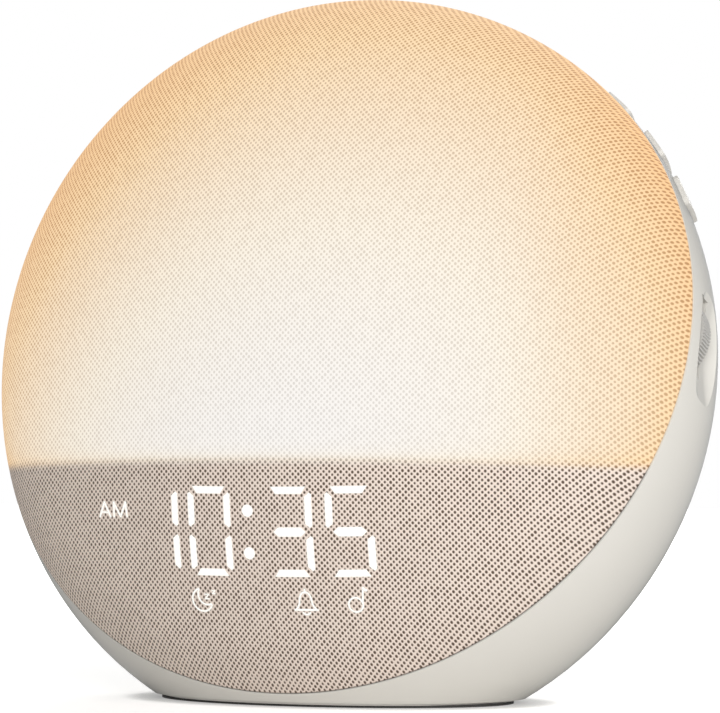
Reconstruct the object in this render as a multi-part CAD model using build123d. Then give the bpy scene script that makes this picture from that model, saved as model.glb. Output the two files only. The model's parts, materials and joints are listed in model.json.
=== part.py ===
from build123d import *
from functools import lru_cache
from math import asin, atan2, cos, degrees, pi, radians, sin, sqrt
import os

# A sunrise alarm clock: a round, lens-shaped lamp with a clock in its lower third. All sizes in millimetres.
# Frame: +Z up, X to the object's right-hand side as seen from the front, the front looks along -Y.
# The origin is the middle of the foot, on the table.

# ---- driving dimensions: the lens-shaped body -------------------------------------------------------------
LENS_RADIUS = 100.0            # half the width
FRONT_BULGE = 57.0             # from the lens's middle plane to its front pole
FRONT_SHOULDER = 44.0          # rounding between the front crown and the rim
REAR_BULGE = 54.0
REAR_SHOULDER = 42.0
LEAN = 9.5                     # degrees that the body leans back
CENTRE_HEIGHT = 86.2           # height of the lens's centre over the table
SHELL_BOTTOM = 1.2             # height of the shell's lower edge over the table
WALL = 2.6                     # rear shell's wall

# ---- the slanted seam between the fabric front and the rear shell ----------------------------------------
SEAM_LEAN = 21.0               # degrees that the seam's plane leans back
SEAM_OFFSET = 11.0             # seam plane's distance in front of the lens's centre
SEAM_GAP = 0.35                # shell's edge stays this far behind the seam
HEM_THICKNESS = 0.7            # fabric folded in between shell and frame
CLEAR = 0.2                    # between pieces that are only laid together
SOFT_CLEAR = 0.3               # between fabric and what it is stretched over

# ---- front: fabric, dome, panel and frame -----------------------------------------------------------------
FABRIC = 0.8
DOME_WALL = 2.2
DIVIDE_DROP = 24.0             # light divide below the lens's centre
BAFFLE = 2.0
FLANGE = 2.5                   # frame's flat ring
FLANGE_WIDTH = 12.9
SPIGOT_DEPTH = 4.5             # how far the frame plugs into the shell
SPIGOT_WALL = 2.0
SNAP_COUNT = 8
SNAP = (9.0, 0.7, 2.0)         # snap lug: along the rim, proud of the spigot, along the seam's axis
TRAY = 2.0
BOARD = 1.6                    # every circuit board

# ---- lamp: LED board and LEDs -----------------------------------------------------------------------------
LED_BOARD_RADIUS = 62.0
LED_BOARD_RISE = 4.0           # board's lower edge over the light divide
LED = (3.5, 2.8, 1.4)
LED_ROWS = ((20.0, 5), (37.0, 8), (54.0, 11))
TRAY_SCREW_CIRCLE = (88.0, 2.0)     # radius, and how far its middle lies over the lens's centre
TRAY_SCREW_ANGLES = (12, 51, 90, 129, 168)

# ---- display ----------------------------------------------------------------------------------------------
DISPLAY_DROP = 41.4            # digits' middle below the lens's centre
DISPLAY_X = -1.5
DISPLAY_DEPTH = 15.5           # from the fabric's outer face to the display board
BLOCK = (-49.5, 41.5, -22.5, 12.3)          # light block's left, right, lower and upper edge
BLOCK_FLANGE = 1.5
BLOCK_CORNER = 8.0
BLOCK_SCREWS = ((-32.5, 7.3), (-43.5, -15.5), (37.0, 7.3), (35.5, -15.5))
DIGIT_PITCH = 15.7
COLON_GAP = 6.85               # extra room between the second and the third digit
DIGIT = (10.6, 21.0)           # width and height between the middles of the strokes
END_BAR = (4.8, 3.5, 0.93)     # top and bottom bar: half length outside and inside, half thickness
MIDDLE_BAR = (4.4, 3.1, 1.2)   # half length at the tips and along the flats, half thickness
UPRIGHT = (1.08, 0.35)         # half thickness, and how far the tip stands outside the middle line
UPRIGHT_ENDS = (1.0, 9.95)     # its lower and upper tip, from the digit's middle
UPRIGHT_CUTS = (1.0, 0.5, 1.1) # mitres: inner edge below, outer edge at both ends, inner edge above
COLON = (1.5, 5.3)             # dot's radius and distance from the digits' middle
INDICATORS = ((-16.4, -17.7, 7.0, 7.0), (12.6, -17.7, 7.0, 7.0), (26.2, -17.5, 7.0, 7.0),
              (-42.9, 4.6, 10.6, 5.4))
PIPE_CLEAR = 0.05
CHIP = (1.6, 0.8, 1.0)         # LED behind each light pipe

# ---- push buttons on the rim ------------------------------------------------------------------------------
BUTTON_ANGLES = {"upper": 47.8, "middle": 38.2, "lower": 28.7}
BUTTON = (9.4, 12.0)           # along the rim and across it
BUTTON_FRONT = 6.0             # front edge behind the seam
BUTTON_PROUD = 1.2
BUTTON_CORNER = 1.6
BUTTON_CLEAR = 0.2
BUTTON_FLANGE = 1.1
BUTTON_FLANGE_LIP = 1.0
BUTTON_TRAVEL = 0.8
STEM_RADIUS = 1.8
SWITCH = (6.0, 6.0, 3.6)       # across, along the push direction, thick
SWITCH_FACE = 85.0             # distance of the switches' front faces from the lens's axis
PLUNGER = (1.5, 2.0, 1.8)      # radius, length outside and length inside the switch
BOARD_ARC = (14.0, 58.0)       # angles at which the button board starts and ends
BOARD_ARC_WIDTH = 14.0

# ---- thumbwheel -------------------------------------------------------------------------------------------
WHEEL_RADIUS = 12.0
WHEEL_REACH = 99.9             # how far the wheel's rim stands from the body's middle
WHEEL_HEIGHT = 7.4             # up along the seam's plane from the lens's centre
WHEEL_WIDTH = 4.8
WHEEL_FRONT = 5.9              # wheel's front face behind the seam
KNURL_COUNT = 84
KNURL_DEPTH = 0.45
HUB = (5.5, 2.6)               # radius and length behind the wheel
SHAFT_RADIUS = 3.0
SHAFT_FLAT = 2.3               # flat's distance from the shaft's axis
RUNNING_FIT = 0.05
SLOT = (21.2, 0.6)             # slot's length, and its room on each side of the wheel
SCOOP_RADIUS = 68.0
SCOOP_DEPTH = 3.0
SCOOP_HEIGHT = 8.8
SCOOP_FRONT = 3.6              # front edge behind the seam
SCOOP_WIDTH = 16.4
SCOOP_RUNOUTS = (5.0, 6.0)     # rounding where the scoop runs out to the front and to the rear
ENCODER = (12.0, 6.0)          # square side and thickness
BUSHING = (4.5, 3.0)           # radius and length
ENCODER_BOARD = (20.0, 18.0)
ENCODER_POST = (9.0, 6.0)      # its posts, inwards and up or down from the shaft

# ---- speaker ----------------------------------------------------------------------------------------------
SPEAKER_RADIUS = 30.0
SPEAKER_FACE = 46.0            # its flange's seat behind the lens's centre
SPEAKER_FLANGE = 1.5
BASKET_DEPTH = 17.0
BASKET_WINDOW = (14.0, 13.0)   # the four openings in its wall
BASKET_WALL = 1.2
MAGNET = (17.0, 8.0)
CONE = (20.0, 8.0, 9.0)        # outer radius, neck radius, depth
SURROUND = 3.6                 # width of the half-roll
LEDGE = 0.9                    # depth of the basket's ledge, on which the surround's lip is glued
LIP = 1.6                      # width of the surround's lips
PAPER = 0.6                    # cone's thickness
CHAMBER_RADIUS = 34.6
CHAMBER_WALL = 2.4
CHAMBER_DEPTH = 31.0
SPEAKER_SCREW_INSET = 2.8
GRILLE_RADIUS = 23.5
GRILLE_SLOT = 2.0
GRILLE_PITCH = 4.4

# ---- base, main board and power jack ----------------------------------------------------------------------
FOOT = 0.6                     # rubber foot's thickness
FOOT_INSET = 2.6
FOOT_WIDTH = 6.0
BASE_INSET = 0.9
BASE_PLUG = 2.5
BOSS = (3.5, 12.0)             # radius and height
BASE_SCREW = (39.5, 7.0)       # from the foot's middle
STANDOFF = (2.5, 4.5)
MAIN_BOARD = (64.0, 38.0)
MAIN_BOARD_BACK = 5.5          # its middle behind the foot's middle
STANDOFF_PLACE = (28.0, 14.0)  # from the board's middle
CHIPS = ((-14.0, -2.0, 9.0, 9.0, 1.4), (0.0, -9.0, 6.0, 5.0, 1.2), (-14.0, 10.0, 6.0, 5.0, 1.6))
CAPACITOR = (3.15, 8.0)        # radius and height
CAPACITOR_PLACES = ((-24.0, 4.0), (9.0, -14.6), (18.0, -14.6))
SCREW_HEAD = (2.4, 1.5)
SCREW_SHANK = 1.1
JACK = (9.4, 17.0, 11.0)       # width, length and height
JACK_BORE = (3.2, 12.0)
JACK_PIN = 1.0
JACK_AXIS = 6.4                # above the board
JACK_MARGIN = 3.0              # board's tongue under the jack: wider on each side, and shorter in front
POCKET = (16.0, 14.0)          # width and height of the recess round the power inlet
POCKET_FACE = 28.6             # its flat upright face's distance behind the origin
POCKET_WALL = 2.2
POCKET_HOLE = 5.2
CELL = (10.0, 3.2)             # backup coin cell
CELL_PLACE = (19.0, 0.5)       # from the board's middle
CELL_FLOOR = 0.8               # holder's floor under the cell
HOLDER_WALL = 1.5
RIBBON = (14.0, 0.4)           # width and thickness of the display's flat cable
RIBBON_X = -14.0
RIBBON_DROP = 15.0             # where it meets the main board, in front of the board's middle

LARGE = 400.0                  # bigger than the whole object

# ---- places worked out from the sizes above ---------------------------------------------------------------
FRONT_CROWN = ((LENS_RADIUS - FRONT_SHOULDER) ** 2 + FRONT_BULGE ** 2 - FRONT_SHOULDER ** 2) / (
    2 * (FRONT_BULGE - FRONT_SHOULDER))
REAR_CROWN = ((LENS_RADIUS - REAR_SHOULDER) ** 2 + REAR_BULGE ** 2 - REAR_SHOULDER ** 2) / (
    2 * (REAR_BULGE - REAR_SHOULDER))
FRONT_REACH = FRONT_CROWN - (FRONT_CROWN - FRONT_BULGE) * cos(radians(LEAN))
REAR_REACH = REAR_CROWN - (REAR_CROWN - REAR_BULGE) * cos(radians(LEAN))
LENS_CENTRE = Vector(0, (FRONT_REACH - REAR_REACH) / 2, CENTRE_HEIGHT)
SEAM_NORMAL = Vector(0, -cos(radians(SEAM_LEAN)), sin(radians(SEAM_LEAN)))
DIVIDE_Z = CENTRE_HEIGHT - DIVIDE_DROP
FRAME_BACK = HEM_THICKNESS + CLEAR          # the flange's rear face, in front of the seam
FRAME_FRONT = FRAME_BACK + FLANGE
DOME_INSET = FABRIC + SOFT_CLEAR
DOME_INNER = DOME_INSET + DOME_WALL
SPIGOT_INSET = WALL + SOFT_CLEAR
SPIGOT_INNER = SPIGOT_INSET + SPIGOT_WALL

LENS = Plane(origin=LENS_CENTRE, x_dir=(1, 0, 0), z_dir=(0, -cos(radians(LEAN)), sin(radians(LEAN))))
SEAM = Plane(origin=LENS_CENTRE + SEAM_NORMAL * SEAM_OFFSET, x_dir=(1, 0, 0), z_dir=SEAM_NORMAL)
GROUND = Plane.XY


def display_plane():
    """The plane that touches the fabric at the middle of the digits."""
    crown_back = FRONT_CROWN - FRONT_BULGE
    crown_y = LENS_CENTRE.Y + crown_back * cos(radians(LEAN))
    crown_z = LENS_CENTRE.Z - crown_back * sin(radians(LEAN))
    drop = crown_z - (CENTRE_HEIGHT - DISPLAY_DROP)
    dip = asin(drop / FRONT_CROWN)
    origin = (0, crown_y - FRONT_CROWN * cos(dip), CENTRE_HEIGHT - DISPLAY_DROP)
    return Plane(origin=origin, x_dir=(1, 0, 0), z_dir=(0, -cos(dip), -sin(dip)))


DISPLAY = display_plane()


def at(plane, shape):
    """A shape drawn in a plane's own coordinates, placed in the part."""
    return plane.location * shape


def slab(plane, low, high):
    """Everything between two heights over a plane."""
    return at(plane, Pos(0, 0, (low + high) / 2) * Box(LARGE, LARGE, high - low))


@lru_cache(maxsize=None)
def lens_body(inset):
    """The whole lens with its skin moved inwards by inset, or outwards where inset is negative."""
    front_half = degrees(atan2(LENS_RADIUS - FRONT_SHOULDER, FRONT_CROWN - FRONT_BULGE))
    rear_half = degrees(atan2(LENS_RADIUS - REAR_SHOULDER, REAR_CROWN - REAR_BULGE))
    front_pole = FRONT_BULGE - inset
    rear_pole = REAR_BULGE - inset
    outline = [
        CenterArc((0, FRONT_BULGE - FRONT_CROWN), FRONT_CROWN - inset, 90 - front_half, front_half),
        CenterArc((LENS_RADIUS - FRONT_SHOULDER, 0), FRONT_SHOULDER - inset, 0, 90 - front_half),
        CenterArc((LENS_RADIUS - REAR_SHOULDER, 0), REAR_SHOULDER - inset, rear_half - 90, 90 - rear_half),
        CenterArc((0, REAR_CROWN - REAR_BULGE), REAR_CROWN - inset, -90, rear_half),
        Line((0, -rear_pole), (0, front_pole)),
    ]
    profile = Plane.XZ * make_face(outline)
    return at(LENS, revolve(profile, Axis.Z, 360))


def skin(outer, inner):
    """A wall between two insets of the lens."""
    return lens_body(outer) - lens_body(inner)


def tube(outer, inner, low, high):
    """A ring about the local Z axis."""
    ring = Cylinder(outer, high - low) - Cylinder(inner, high - low)
    return Pos(0, 0, (low + high) / 2) * ring


def rod(radius, low, high):
    """A round bar on the local Z axis."""
    return Pos(0, 0, (low + high) / 2) * Cylinder(radius, high - low)


def block(left, right, near, far, low, high):
    """A box given by its six faces."""
    middle = Pos((left + right) / 2, (near + far) / 2, (low + high) / 2)
    return middle * Box(right - left, far - near, high - low)


def screw(length):
    """A pan-head screw: its head sits on the local XY plane, its shank points down."""
    head, height = SCREW_HEAD
    return rod(head, 0, height) + rod(SCREW_SHANK, -length, 0)


def joined(shapes):
    """Separate solids kept together in one node."""
    return Compound(children=[solid for shape in shapes for solid in shape.solids()])


# ---- rear shell -------------------------------------------------------------------------------------------
def footprint():
    """Middle and half sizes of the shell's lower edge."""
    edge = (lens_body(0) & slab(GROUND, SHELL_BOTTOM, SHELL_BOTTOM + 0.1)).bounding_box()
    return edge.center().Y, edge.size.X / 2, edge.size.Y / 2


FOOT_Y, FOOT_HALF_X, FOOT_HALF_Y = footprint()
BASE_TOP = SHELL_BOTTOM + BASE_PLUG
BASE_SCREWS = [(x * BASE_SCREW[0], FOOT_Y + y * BASE_SCREW[1]) for x in (-1, 1) for y in (-1, 1)]
JACK_Z = BASE_TOP + STANDOFF[1] + BOARD + JACK_AXIS
JACK_FRONT = POCKET_FACE - POCKET_WALL - CLEAR


def button_location(angle, distance=0.0):
    """On the rim at an angle: X along the rim, Y forward across the button, Z outward."""
    a = radians(angle)
    back = -(BUTTON_FRONT + BUTTON[1] / 2)
    origin = (distance * cos(a), distance * sin(a), back)
    frame = Plane(origin=origin, x_dir=(-sin(a), cos(a), 0), z_dir=(cos(a), sin(a), 0))
    return SEAM.location * frame.location


def button_prism(angle, grow):
    """The button's footprint, drawn through the wall."""
    prism = Pos(0, 0, LENS_RADIUS) * Box(BUTTON[0] + 2 * grow, BUTTON[1] + 2 * grow, LENS_RADIUS / 2)
    prism = fillet(prism.edges().filter_by(Axis.Z), BUTTON_CORNER + grow)
    return button_location(angle) * prism


def scoop(grow):
    """The finger scoop's tool: a wide disc that stands beside the rim, its edges rounded."""
    front = -SCOOP_FRONT + grow
    front_round, rear_round = SCOOP_RUNOUTS
    disc = Cylinder(SCOOP_RADIUS + grow, SCOOP_WIDTH + 2 * grow)
    disc = fillet(disc.edges().sort_by(Axis.Z)[0], rear_round + grow)
    disc = fillet(disc.edges().sort_by(Axis.Z)[-1], front_round + grow)
    middle = Pos(LENS_RADIUS - SCOOP_DEPTH + SCOOP_RADIUS, SCOOP_HEIGHT, front - SCOOP_WIDTH / 2 - grow)
    return at(SEAM, middle * disc)


WHEEL_X = WHEEL_REACH - WHEEL_RADIUS
WHEEL_BACK = -(WHEEL_FRONT + WHEEL_WIDTH)
ENCODER_FACE = WHEEL_BACK - HUB[1] - CLEAR          # end of the bushing
ENCODER_SEAT = ENCODER_FACE - BUSHING[1] - ENCODER[1]


def wheel_slot():
    """The slot in the scoop's floor that the wheel's rim stands in."""
    length, room = SLOT
    return at(SEAM, block(WHEEL_X, LENS_RADIUS + 1, WHEEL_HEIGHT - length / 2, WHEEL_HEIGHT + length / 2,
                          WHEEL_BACK - room, -WHEEL_FRONT + room))


def grille_slots():
    """Upright slots over the speaker, as long as the circle they fill allows."""
    count = int(GRILLE_RADIUS / GRILLE_PITCH)
    slots = []
    for i in range(-count, count + 1):
        half = sqrt(GRILLE_RADIUS ** 2 - (i * GRILLE_PITCH) ** 2)
        shape = Rot(0, 0, 90) * SlotOverall(2 * half, GRILLE_SLOT)
        slots.append(Pos(i * GRILLE_PITCH, 0, -REAR_BULGE - 1) * extrude(shape, 2 * WALL + 2))
    return at(LENS, Compound(children=slots))


def inlet_pocket(grow):
    """The recess round the power inlet, with a flat upright face, grown by grow on its sides and face."""
    width, height = POCKET
    return block(-width / 2 - grow, width / 2 + grow, POCKET_FACE - grow, LARGE / 2,
                 JACK_Z - height / 2 - grow, JACK_Z + height / 2 + grow)


def posts(places, radius, low, pilot):
    """Posts along the seam's axis, from a seat back to the shell's wall, with a pilot hole for a screw."""
    made = []
    for x, y in places:
        post = at(SEAM, Pos(x, y, 0) * rod(radius, -LARGE / 4, low)) & lens_body(WALL / 2)
        made.append(post - at(SEAM, Pos(x, y, 0) * rod(pilot, low - 8, low + 1)))
    return made


BUTTON_BOARD_SEAT = -(BUTTON_FRONT + BUTTON[1] / 2) - SWITCH[2] / 2 - BOARD
BUTTON_POSTS = [((SWITCH_FACE - 8) * cos(radians(a)), (SWITCH_FACE - 8) * sin(radians(a)))
                for a in (BOARD_ARC[0] + 4, BOARD_ARC[1] - 4)]
ENCODER_POSTS = [(WHEEL_X - ENCODER_POST[0], WHEEL_HEIGHT + side * ENCODER_POST[1]) for side in (-1, 1)]
SPEAKER_SCREWS = [Rot(0, 0, a) * Pos(SPEAKER_RADIUS - SPEAKER_SCREW_INSET, 0, 0) for a in (45, 135, 225, 315)]


def snap_lugs(grow):
    """Small lugs round the spigot, or their pockets in the shell where grow is positive."""
    along, proud, deep = SNAP
    lugs = []
    for i in range(SNAP_COUNT):
        angle = 360 / SNAP_COUNT * (i + 0.5)
        lug = Box(LENS_RADIUS / 3, along + 2 * grow, deep + 2 * grow)
        lugs.append(at(SEAM, Rot(0, 0, angle) * Pos(LENS_RADIUS - 10, 0, -SPIGOT_DEPTH / 2) * lug))
    band = skin(SPIGOT_INSET - proud - grow, SPIGOT_INSET + SPIGOT_WALL / 2)
    return [lug & band for lug in lugs]


def make_rear_shell():
    shell = skin(0, WALL) & slab(SEAM, -LARGE / 2, -SEAM_GAP) & slab(GROUND, SHELL_BOTTOM, LARGE / 2)
    shell += scoop(WALL) & lens_body(WALL / 2) & slab(SEAM, -LARGE / 2, -SPIGOT_DEPTH - CLEAR)
    shell += inlet_pocket(POCKET_WALL) & lens_body(0) & slab(GROUND, SHELL_BOTTOM, LARGE / 2)
    for low, high in ((SPEAKER_RADIUS - 5, SPEAKER_RADIUS), (CHAMBER_RADIUS - CHAMBER_WALL, CHAMBER_RADIUS)):
        shell += at(LENS, tube(high, low, -LARGE / 4, -SPEAKER_FACE)) & lens_body(WALL / 2)
    for x, y in BASE_SCREWS:
        boss = Pos(x, y, 0) * rod(BOSS[0], BASE_TOP + CLEAR, BASE_TOP + BOSS[1])
        side = 1 if x > 0 else -1
        web = block(min(x, x + side * LENS_RADIUS), max(x, x + side * LENS_RADIUS), y - 1, y + 1,
                    BASE_TOP + CLEAR, BASE_TOP + BOSS[1] - 2)
        shell += (boss + web) & lens_body(WALL / 2)
        shell -= Pos(x, y, 0) * rod(SCREW_SHANK + PIPE_CLEAR, 0, BASE_TOP + BOSS[1] - 2)
    for post in posts(BUTTON_POSTS, 3.0, BUTTON_BOARD_SEAT, SCREW_SHANK + PIPE_CLEAR):
        shell += post
    for post in posts(ENCODER_POSTS, 2.6, ENCODER_SEAT - BOARD, SCREW_SHANK + PIPE_CLEAR):
        shell += post
    for place in SPEAKER_SCREWS:
        shell -= at(LENS, place * rod(SCREW_SHANK + PIPE_CLEAR, -SPEAKER_FACE - 4, -SPEAKER_FACE + 1))
    shell -= scoop(0)
    shell -= wheel_slot()
    for angle in BUTTON_ANGLES.values():
        shell -= button_prism(angle, BUTTON_CLEAR)
    shell -= grille_slots()
    shell -= inlet_pocket(0)
    shell -= Pos(0, POCKET_FACE, JACK_Z) * Rot(90, 0, 0) * Cylinder(POCKET_HOLE, 4 * WALL)
    for pocket in snap_lugs(CLEAR):
        shell -= pocket
    return shell


# ---- front: frame, dome, panel and fabric -----------------------------------------------------------------
def make_front_frame():
    flange = skin(DOME_INSET, DOME_INSET + FLANGE_WIDTH) & slab(SEAM, FRAME_BACK, FRAME_FRONT)
    spigot = skin(SPIGOT_INSET, SPIGOT_INNER) & slab(SEAM, -SPIGOT_DEPTH, FRAME_BACK)
    frame = flange + spigot
    for lug in snap_lugs(0):
        frame += lug
    low = -DISPLAY_DEPTH - BOARD - SCREW_HEAD[1] - CLEAR
    frame -= at(DISPLAY, Pos(0, 0, low) * extrude(block_outline(BLOCK_FLANGE + CLEAR), DISPLAY_DEPTH))
    return frame & slab(GROUND, BASE_TOP + CLEAR, LARGE / 2)


def make_fabric_cover():
    stretched = skin(0, FABRIC) & slab(SEAM, 0, LARGE / 2)
    hem = skin(0, WALL) & slab(SEAM, 0, HEM_THICKNESS)
    return stretched + hem


def front_wall():
    return skin(DOME_INSET, DOME_INNER) & slab(SEAM, FRAME_FRONT, LARGE / 2)


def make_diffuser_dome():
    return front_wall() & slab(GROUND, DIVIDE_Z + CLEAR / 2, LARGE / 2)


def block_outline(grow):
    left, right, low, high = BLOCK
    outline = RectangleRounded(right - left + 2 * grow, high - low + 2 * grow, BLOCK_CORNER + grow)
    return Pos((left + right) / 2, (low + high) / 2, 0) * outline


def make_lower_panel():
    window = at(DISPLAY, Pos(0, 0, -LARGE / 8) * extrude(block_outline(CLEAR), LARGE / 4))
    return (front_wall() & slab(GROUND, 0, DIVIDE_Z - CLEAR / 2)) - window


def make_light_baffle():
    shelf = slab(GROUND, DIVIDE_Z - BAFFLE / 2, DIVIDE_Z + BAFFLE / 2)
    deep = shelf & lens_body(DOME_INNER + SOFT_CLEAR) & slab(SEAM, FRAME_FRONT + CLEAR, LARGE / 2)
    neck = lens_body(DOME_INSET + FLANGE_WIDTH + CLEAR) & slab(SEAM, FRAME_BACK, FRAME_FRONT + 1)
    return deep + (shelf & neck)


def make_led_tray():
    plate = lens_body(SPIGOT_INNER + SOFT_CLEAR) & slab(SEAM, FRAME_BACK - TRAY, FRAME_BACK)
    return plate & slab(GROUND, DIVIDE_Z - 2 * BAFFLE, LARGE / 2)


# ---- lamp -------------------------------------------------------------------------------------------------
def make_led_board():
    disc = at(SEAM, rod(LED_BOARD_RADIUS, FRAME_BACK, FRAME_BACK + BOARD))
    return disc & slab(GROUND, DIVIDE_Z + LED_BOARD_RISE, LARGE / 2)


def make_lamp_leds():
    base = (DIVIDE_Z + LED_BOARD_RISE + 3 - CENTRE_HEIGHT) / cos(radians(SEAM_LEAN))
    leds = []
    for radius, count in LED_ROWS:
        for i in range(count):
            a = pi * (i + 0.5) / count
            place = Pos(radius * cos(a), base + radius * sin(a), FRAME_BACK + BOARD + LED[2] / 2)
            leds.append(at(SEAM, place * Box(*LED)))
    return joined(leds)


TRAY_SCREWS = [(TRAY_SCREW_CIRCLE[0] * cos(radians(a)),
                TRAY_SCREW_CIRCLE[1] + TRAY_SCREW_CIRCLE[0] * sin(radians(a))) for a in TRAY_SCREW_ANGLES]


def make_tray_screws():
    return joined([at(SEAM, Pos(x, y, FRAME_BACK - TRAY) * Rot(180, 0, 0) * screw(TRAY + FLANGE - 0.3))
                   for x, y in TRAY_SCREWS])


def tray_screw_holes():
    return [at(SEAM, Pos(x, y, 0) * rod(SCREW_SHANK + PIPE_CLEAR, -LARGE / 40, FRAME_FRONT - 0.2))
            for x, y in TRAY_SCREWS]


# ---- display ----------------------------------------------------------------------------------------------
def digit_middles():
    """The X of the four digits, the first to the fourth."""
    half = (DIGIT_PITCH + COLON_GAP) / 2
    return [DISPLAY_X + x for x in (-half - DIGIT_PITCH, -half, half, half + DIGIT_PITCH)]


def end_bar(middle, end):
    """A digit's top bar (end 1) or bottom bar (end -1), longer on its outer edge."""
    long, short, half = END_BAR
    level = DIGIT[1] / 2
    bar = Polygon((-long, level + half), (-short, level - half), (short, level - half), (long, level + half),
                  align=None)
    return Pos(middle, 0, 0) * Rot(0, 0, 90 - 90 * end) * bar


def middle_bar(middle):
    """The bar between a digit's two halves, pointed at both ends."""
    tip, flat, half = MIDDLE_BAR
    return Polygon((middle - tip, 0), (middle - flat, -half), (middle + flat, -half), (middle + tip, 0),
                   (middle + flat, half), (middle - flat, half), align=None)


def upright_bar(middle, side, end):
    """An upright on the left (side -1) or right (side 1), over (end 1) or under (end -1) the middle bar."""
    half, tip = UPRIGHT
    low, high = UPRIGHT_ENDS
    inner_low, outer_cut, inner_high = UPRIGHT_CUTS
    x = middle + side * DIGIT[0] / 2
    outline = ((-half, low + inner_low), (tip, low), (half, low + outer_cut), (half, high - outer_cut),
               (tip, high), (-half, high - inner_high))
    corners = [(x + side * across, end * up) for across, up in outline]
    anticlockwise = corners if side == end else corners[::-1]
    return Polygon(*anticlockwise, align=None)


def segment_outlines():
    """Every bar of the four digits: the first digit has only its two right-hand bars."""
    bars = []
    for number, middle in enumerate(digit_middles()):
        for up in (-1, 1):
            bars.append(upright_bar(middle, 1, up))
            if number:
                bars += [upright_bar(middle, -1, up), end_bar(middle, up)]
        if number:
            bars.append(middle_bar(middle))
    for up in (-1, 1):
        bars.append(Pos(DISPLAY_X, up * COLON[1], 0) * Circle(COLON[0]))
    return bars


def indicator_outlines():
    return [Pos(x, y, 0) * Rectangle(width, height) for x, y, width, height in INDICATORS]


PIPE_BACK = -DISPLAY_DEPTH + CHIP[2] + 0.4


def light_pipes(outlines, grow, low):
    """Bars of clear plastic from behind up to the curved front, or the wells they sit in."""
    front = lens_body(DOME_INSET)
    pipes = []
    for outline in outlines:
        shape = offset(outline, grow) if grow else outline
        pipes.append(at(DISPLAY, Pos(0, 0, low) * extrude(shape, DISPLAY_DEPTH + 2)) & front)
    return pipes


def make_display_block():
    body = at(DISPLAY, Pos(0, 0, -DISPLAY_DEPTH) * extrude(block_outline(0), DISPLAY_DEPTH + 5))
    rim = at(DISPLAY, Pos(0, 0, -DISPLAY_DEPTH) * extrude(block_outline(BLOCK_FLANGE), DISPLAY_DEPTH + 5))
    made = (body & lens_body(DOME_INSET)) + (rim & lens_body(DOME_INNER + CLEAR))
    for well in light_pipes(segment_outlines() + indicator_outlines(), PIPE_CLEAR, -DISPLAY_DEPTH - 1):
        made -= well
    bore = rod(SCREW_SHANK + PIPE_CLEAR, -DISPLAY_DEPTH - 1, -DISPLAY_DEPTH + 4.5)
    for x, y in BLOCK_SCREWS:
        made -= at(DISPLAY, Pos(x, y, 0) * bore)
    return made


def make_display_board():
    board = at(DISPLAY, Pos(0, 0, -DISPLAY_DEPTH - BOARD) * extrude(block_outline(BLOCK_FLANGE), BOARD))
    for x, y in BLOCK_SCREWS:
        board -= at(DISPLAY, Pos(x, y, 0) * rod(SCREW_SHANK + CLEAR, -DISPLAY_DEPTH - 5, 0))
    return board


def make_display_leds():
    width, height = DIGIT
    places = []
    for number, middle in enumerate(digit_middles()):
        for side in (-1, 1):
            for up in (-1, 1):
                if number or side > 0:
                    places.append((middle + side * width / 2, up * height / 4, 90))
        for row in (-1, 0, 1):
            if number:
                places.append((middle, row * height / 2, 0))
    places += [(DISPLAY_X, up * COLON[1], 0) for up in (-1, 1)]
    places += [(x, y, 0) for x, y, _, _ in INDICATORS]
    chips = [at(DISPLAY, Pos(x, y, -DISPLAY_DEPTH + CHIP[2] / 2) * Rot(0, 0, turn) * Box(*CHIP))
             for x, y, turn in places]
    return joined(chips)


def make_display_screws():
    return joined([at(DISPLAY, Pos(x, y, -DISPLAY_DEPTH - BOARD) * Rot(180, 0, 0) * screw(BOARD + 4))
                   for x, y in BLOCK_SCREWS])


# ---- push buttons -----------------------------------------------------------------------------------------
def make_button(angle):
    """Cap, captive flange and stem in one moulding, its top following the body's curve."""
    top, bottom = WALL + SOFT_CLEAR, WALL + SOFT_CLEAR + BUTTON_FLANGE
    cap = button_prism(angle, 0) & skin(-BUTTON_PROUD, bottom)
    place = button_location(angle)
    flange = button_prism(angle, BUTTON_FLANGE_LIP) & skin(top, bottom)
    end = SWITCH_FACE + PLUNGER[1]
    stem = place * rod(STEM_RADIUS, end, LENS_RADIUS)
    stem = stem & lens_body(WALL + SOFT_CLEAR + BUTTON_FLANGE / 2)
    return cap + flange + stem


def make_plunger(angle):
    radius, outside, inside = PLUNGER
    return button_location(angle) * rod(radius, SWITCH_FACE - inside, SWITCH_FACE + outside)


def make_switches():
    across, deep, thick = SWITCH
    radius, _, inside = PLUNGER
    made = []
    for angle in BUTTON_ANGLES.values():
        case = Pos(0, 0, SWITCH_FACE - deep / 2) * Box(across, thick, deep)
        well = rod(radius + RUNNING_FIT, SWITCH_FACE - inside - BUTTON_TRAVEL - 0.4, SWITCH_FACE + 1)
        made.append(button_location(angle) * (case - well))
    return joined(made)


def make_button_board():
    start, end = BOARD_ARC
    outer_arc = CenterArc((0, 0), SWITCH_FACE - 1.0, start, end - start)
    inner_arc = CenterArc((0, 0), SWITCH_FACE - 1.0 - BOARD_ARC_WIDTH, start, end - start)
    ends = [Line(outer_arc @ end, inner_arc @ end) for end in (0, 1)]
    sector = make_face([outer_arc, inner_arc] + ends)
    board = Pos(0, 0, BUTTON_BOARD_SEAT) * extrude(sector, BOARD)
    for x, y in BUTTON_POSTS:
        board -= Pos(x, y, 0) * rod(SCREW_SHANK + CLEAR, BUTTON_BOARD_SEAT - 1, BUTTON_BOARD_SEAT + BOARD + 1)
    return at(SEAM, board)


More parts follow.
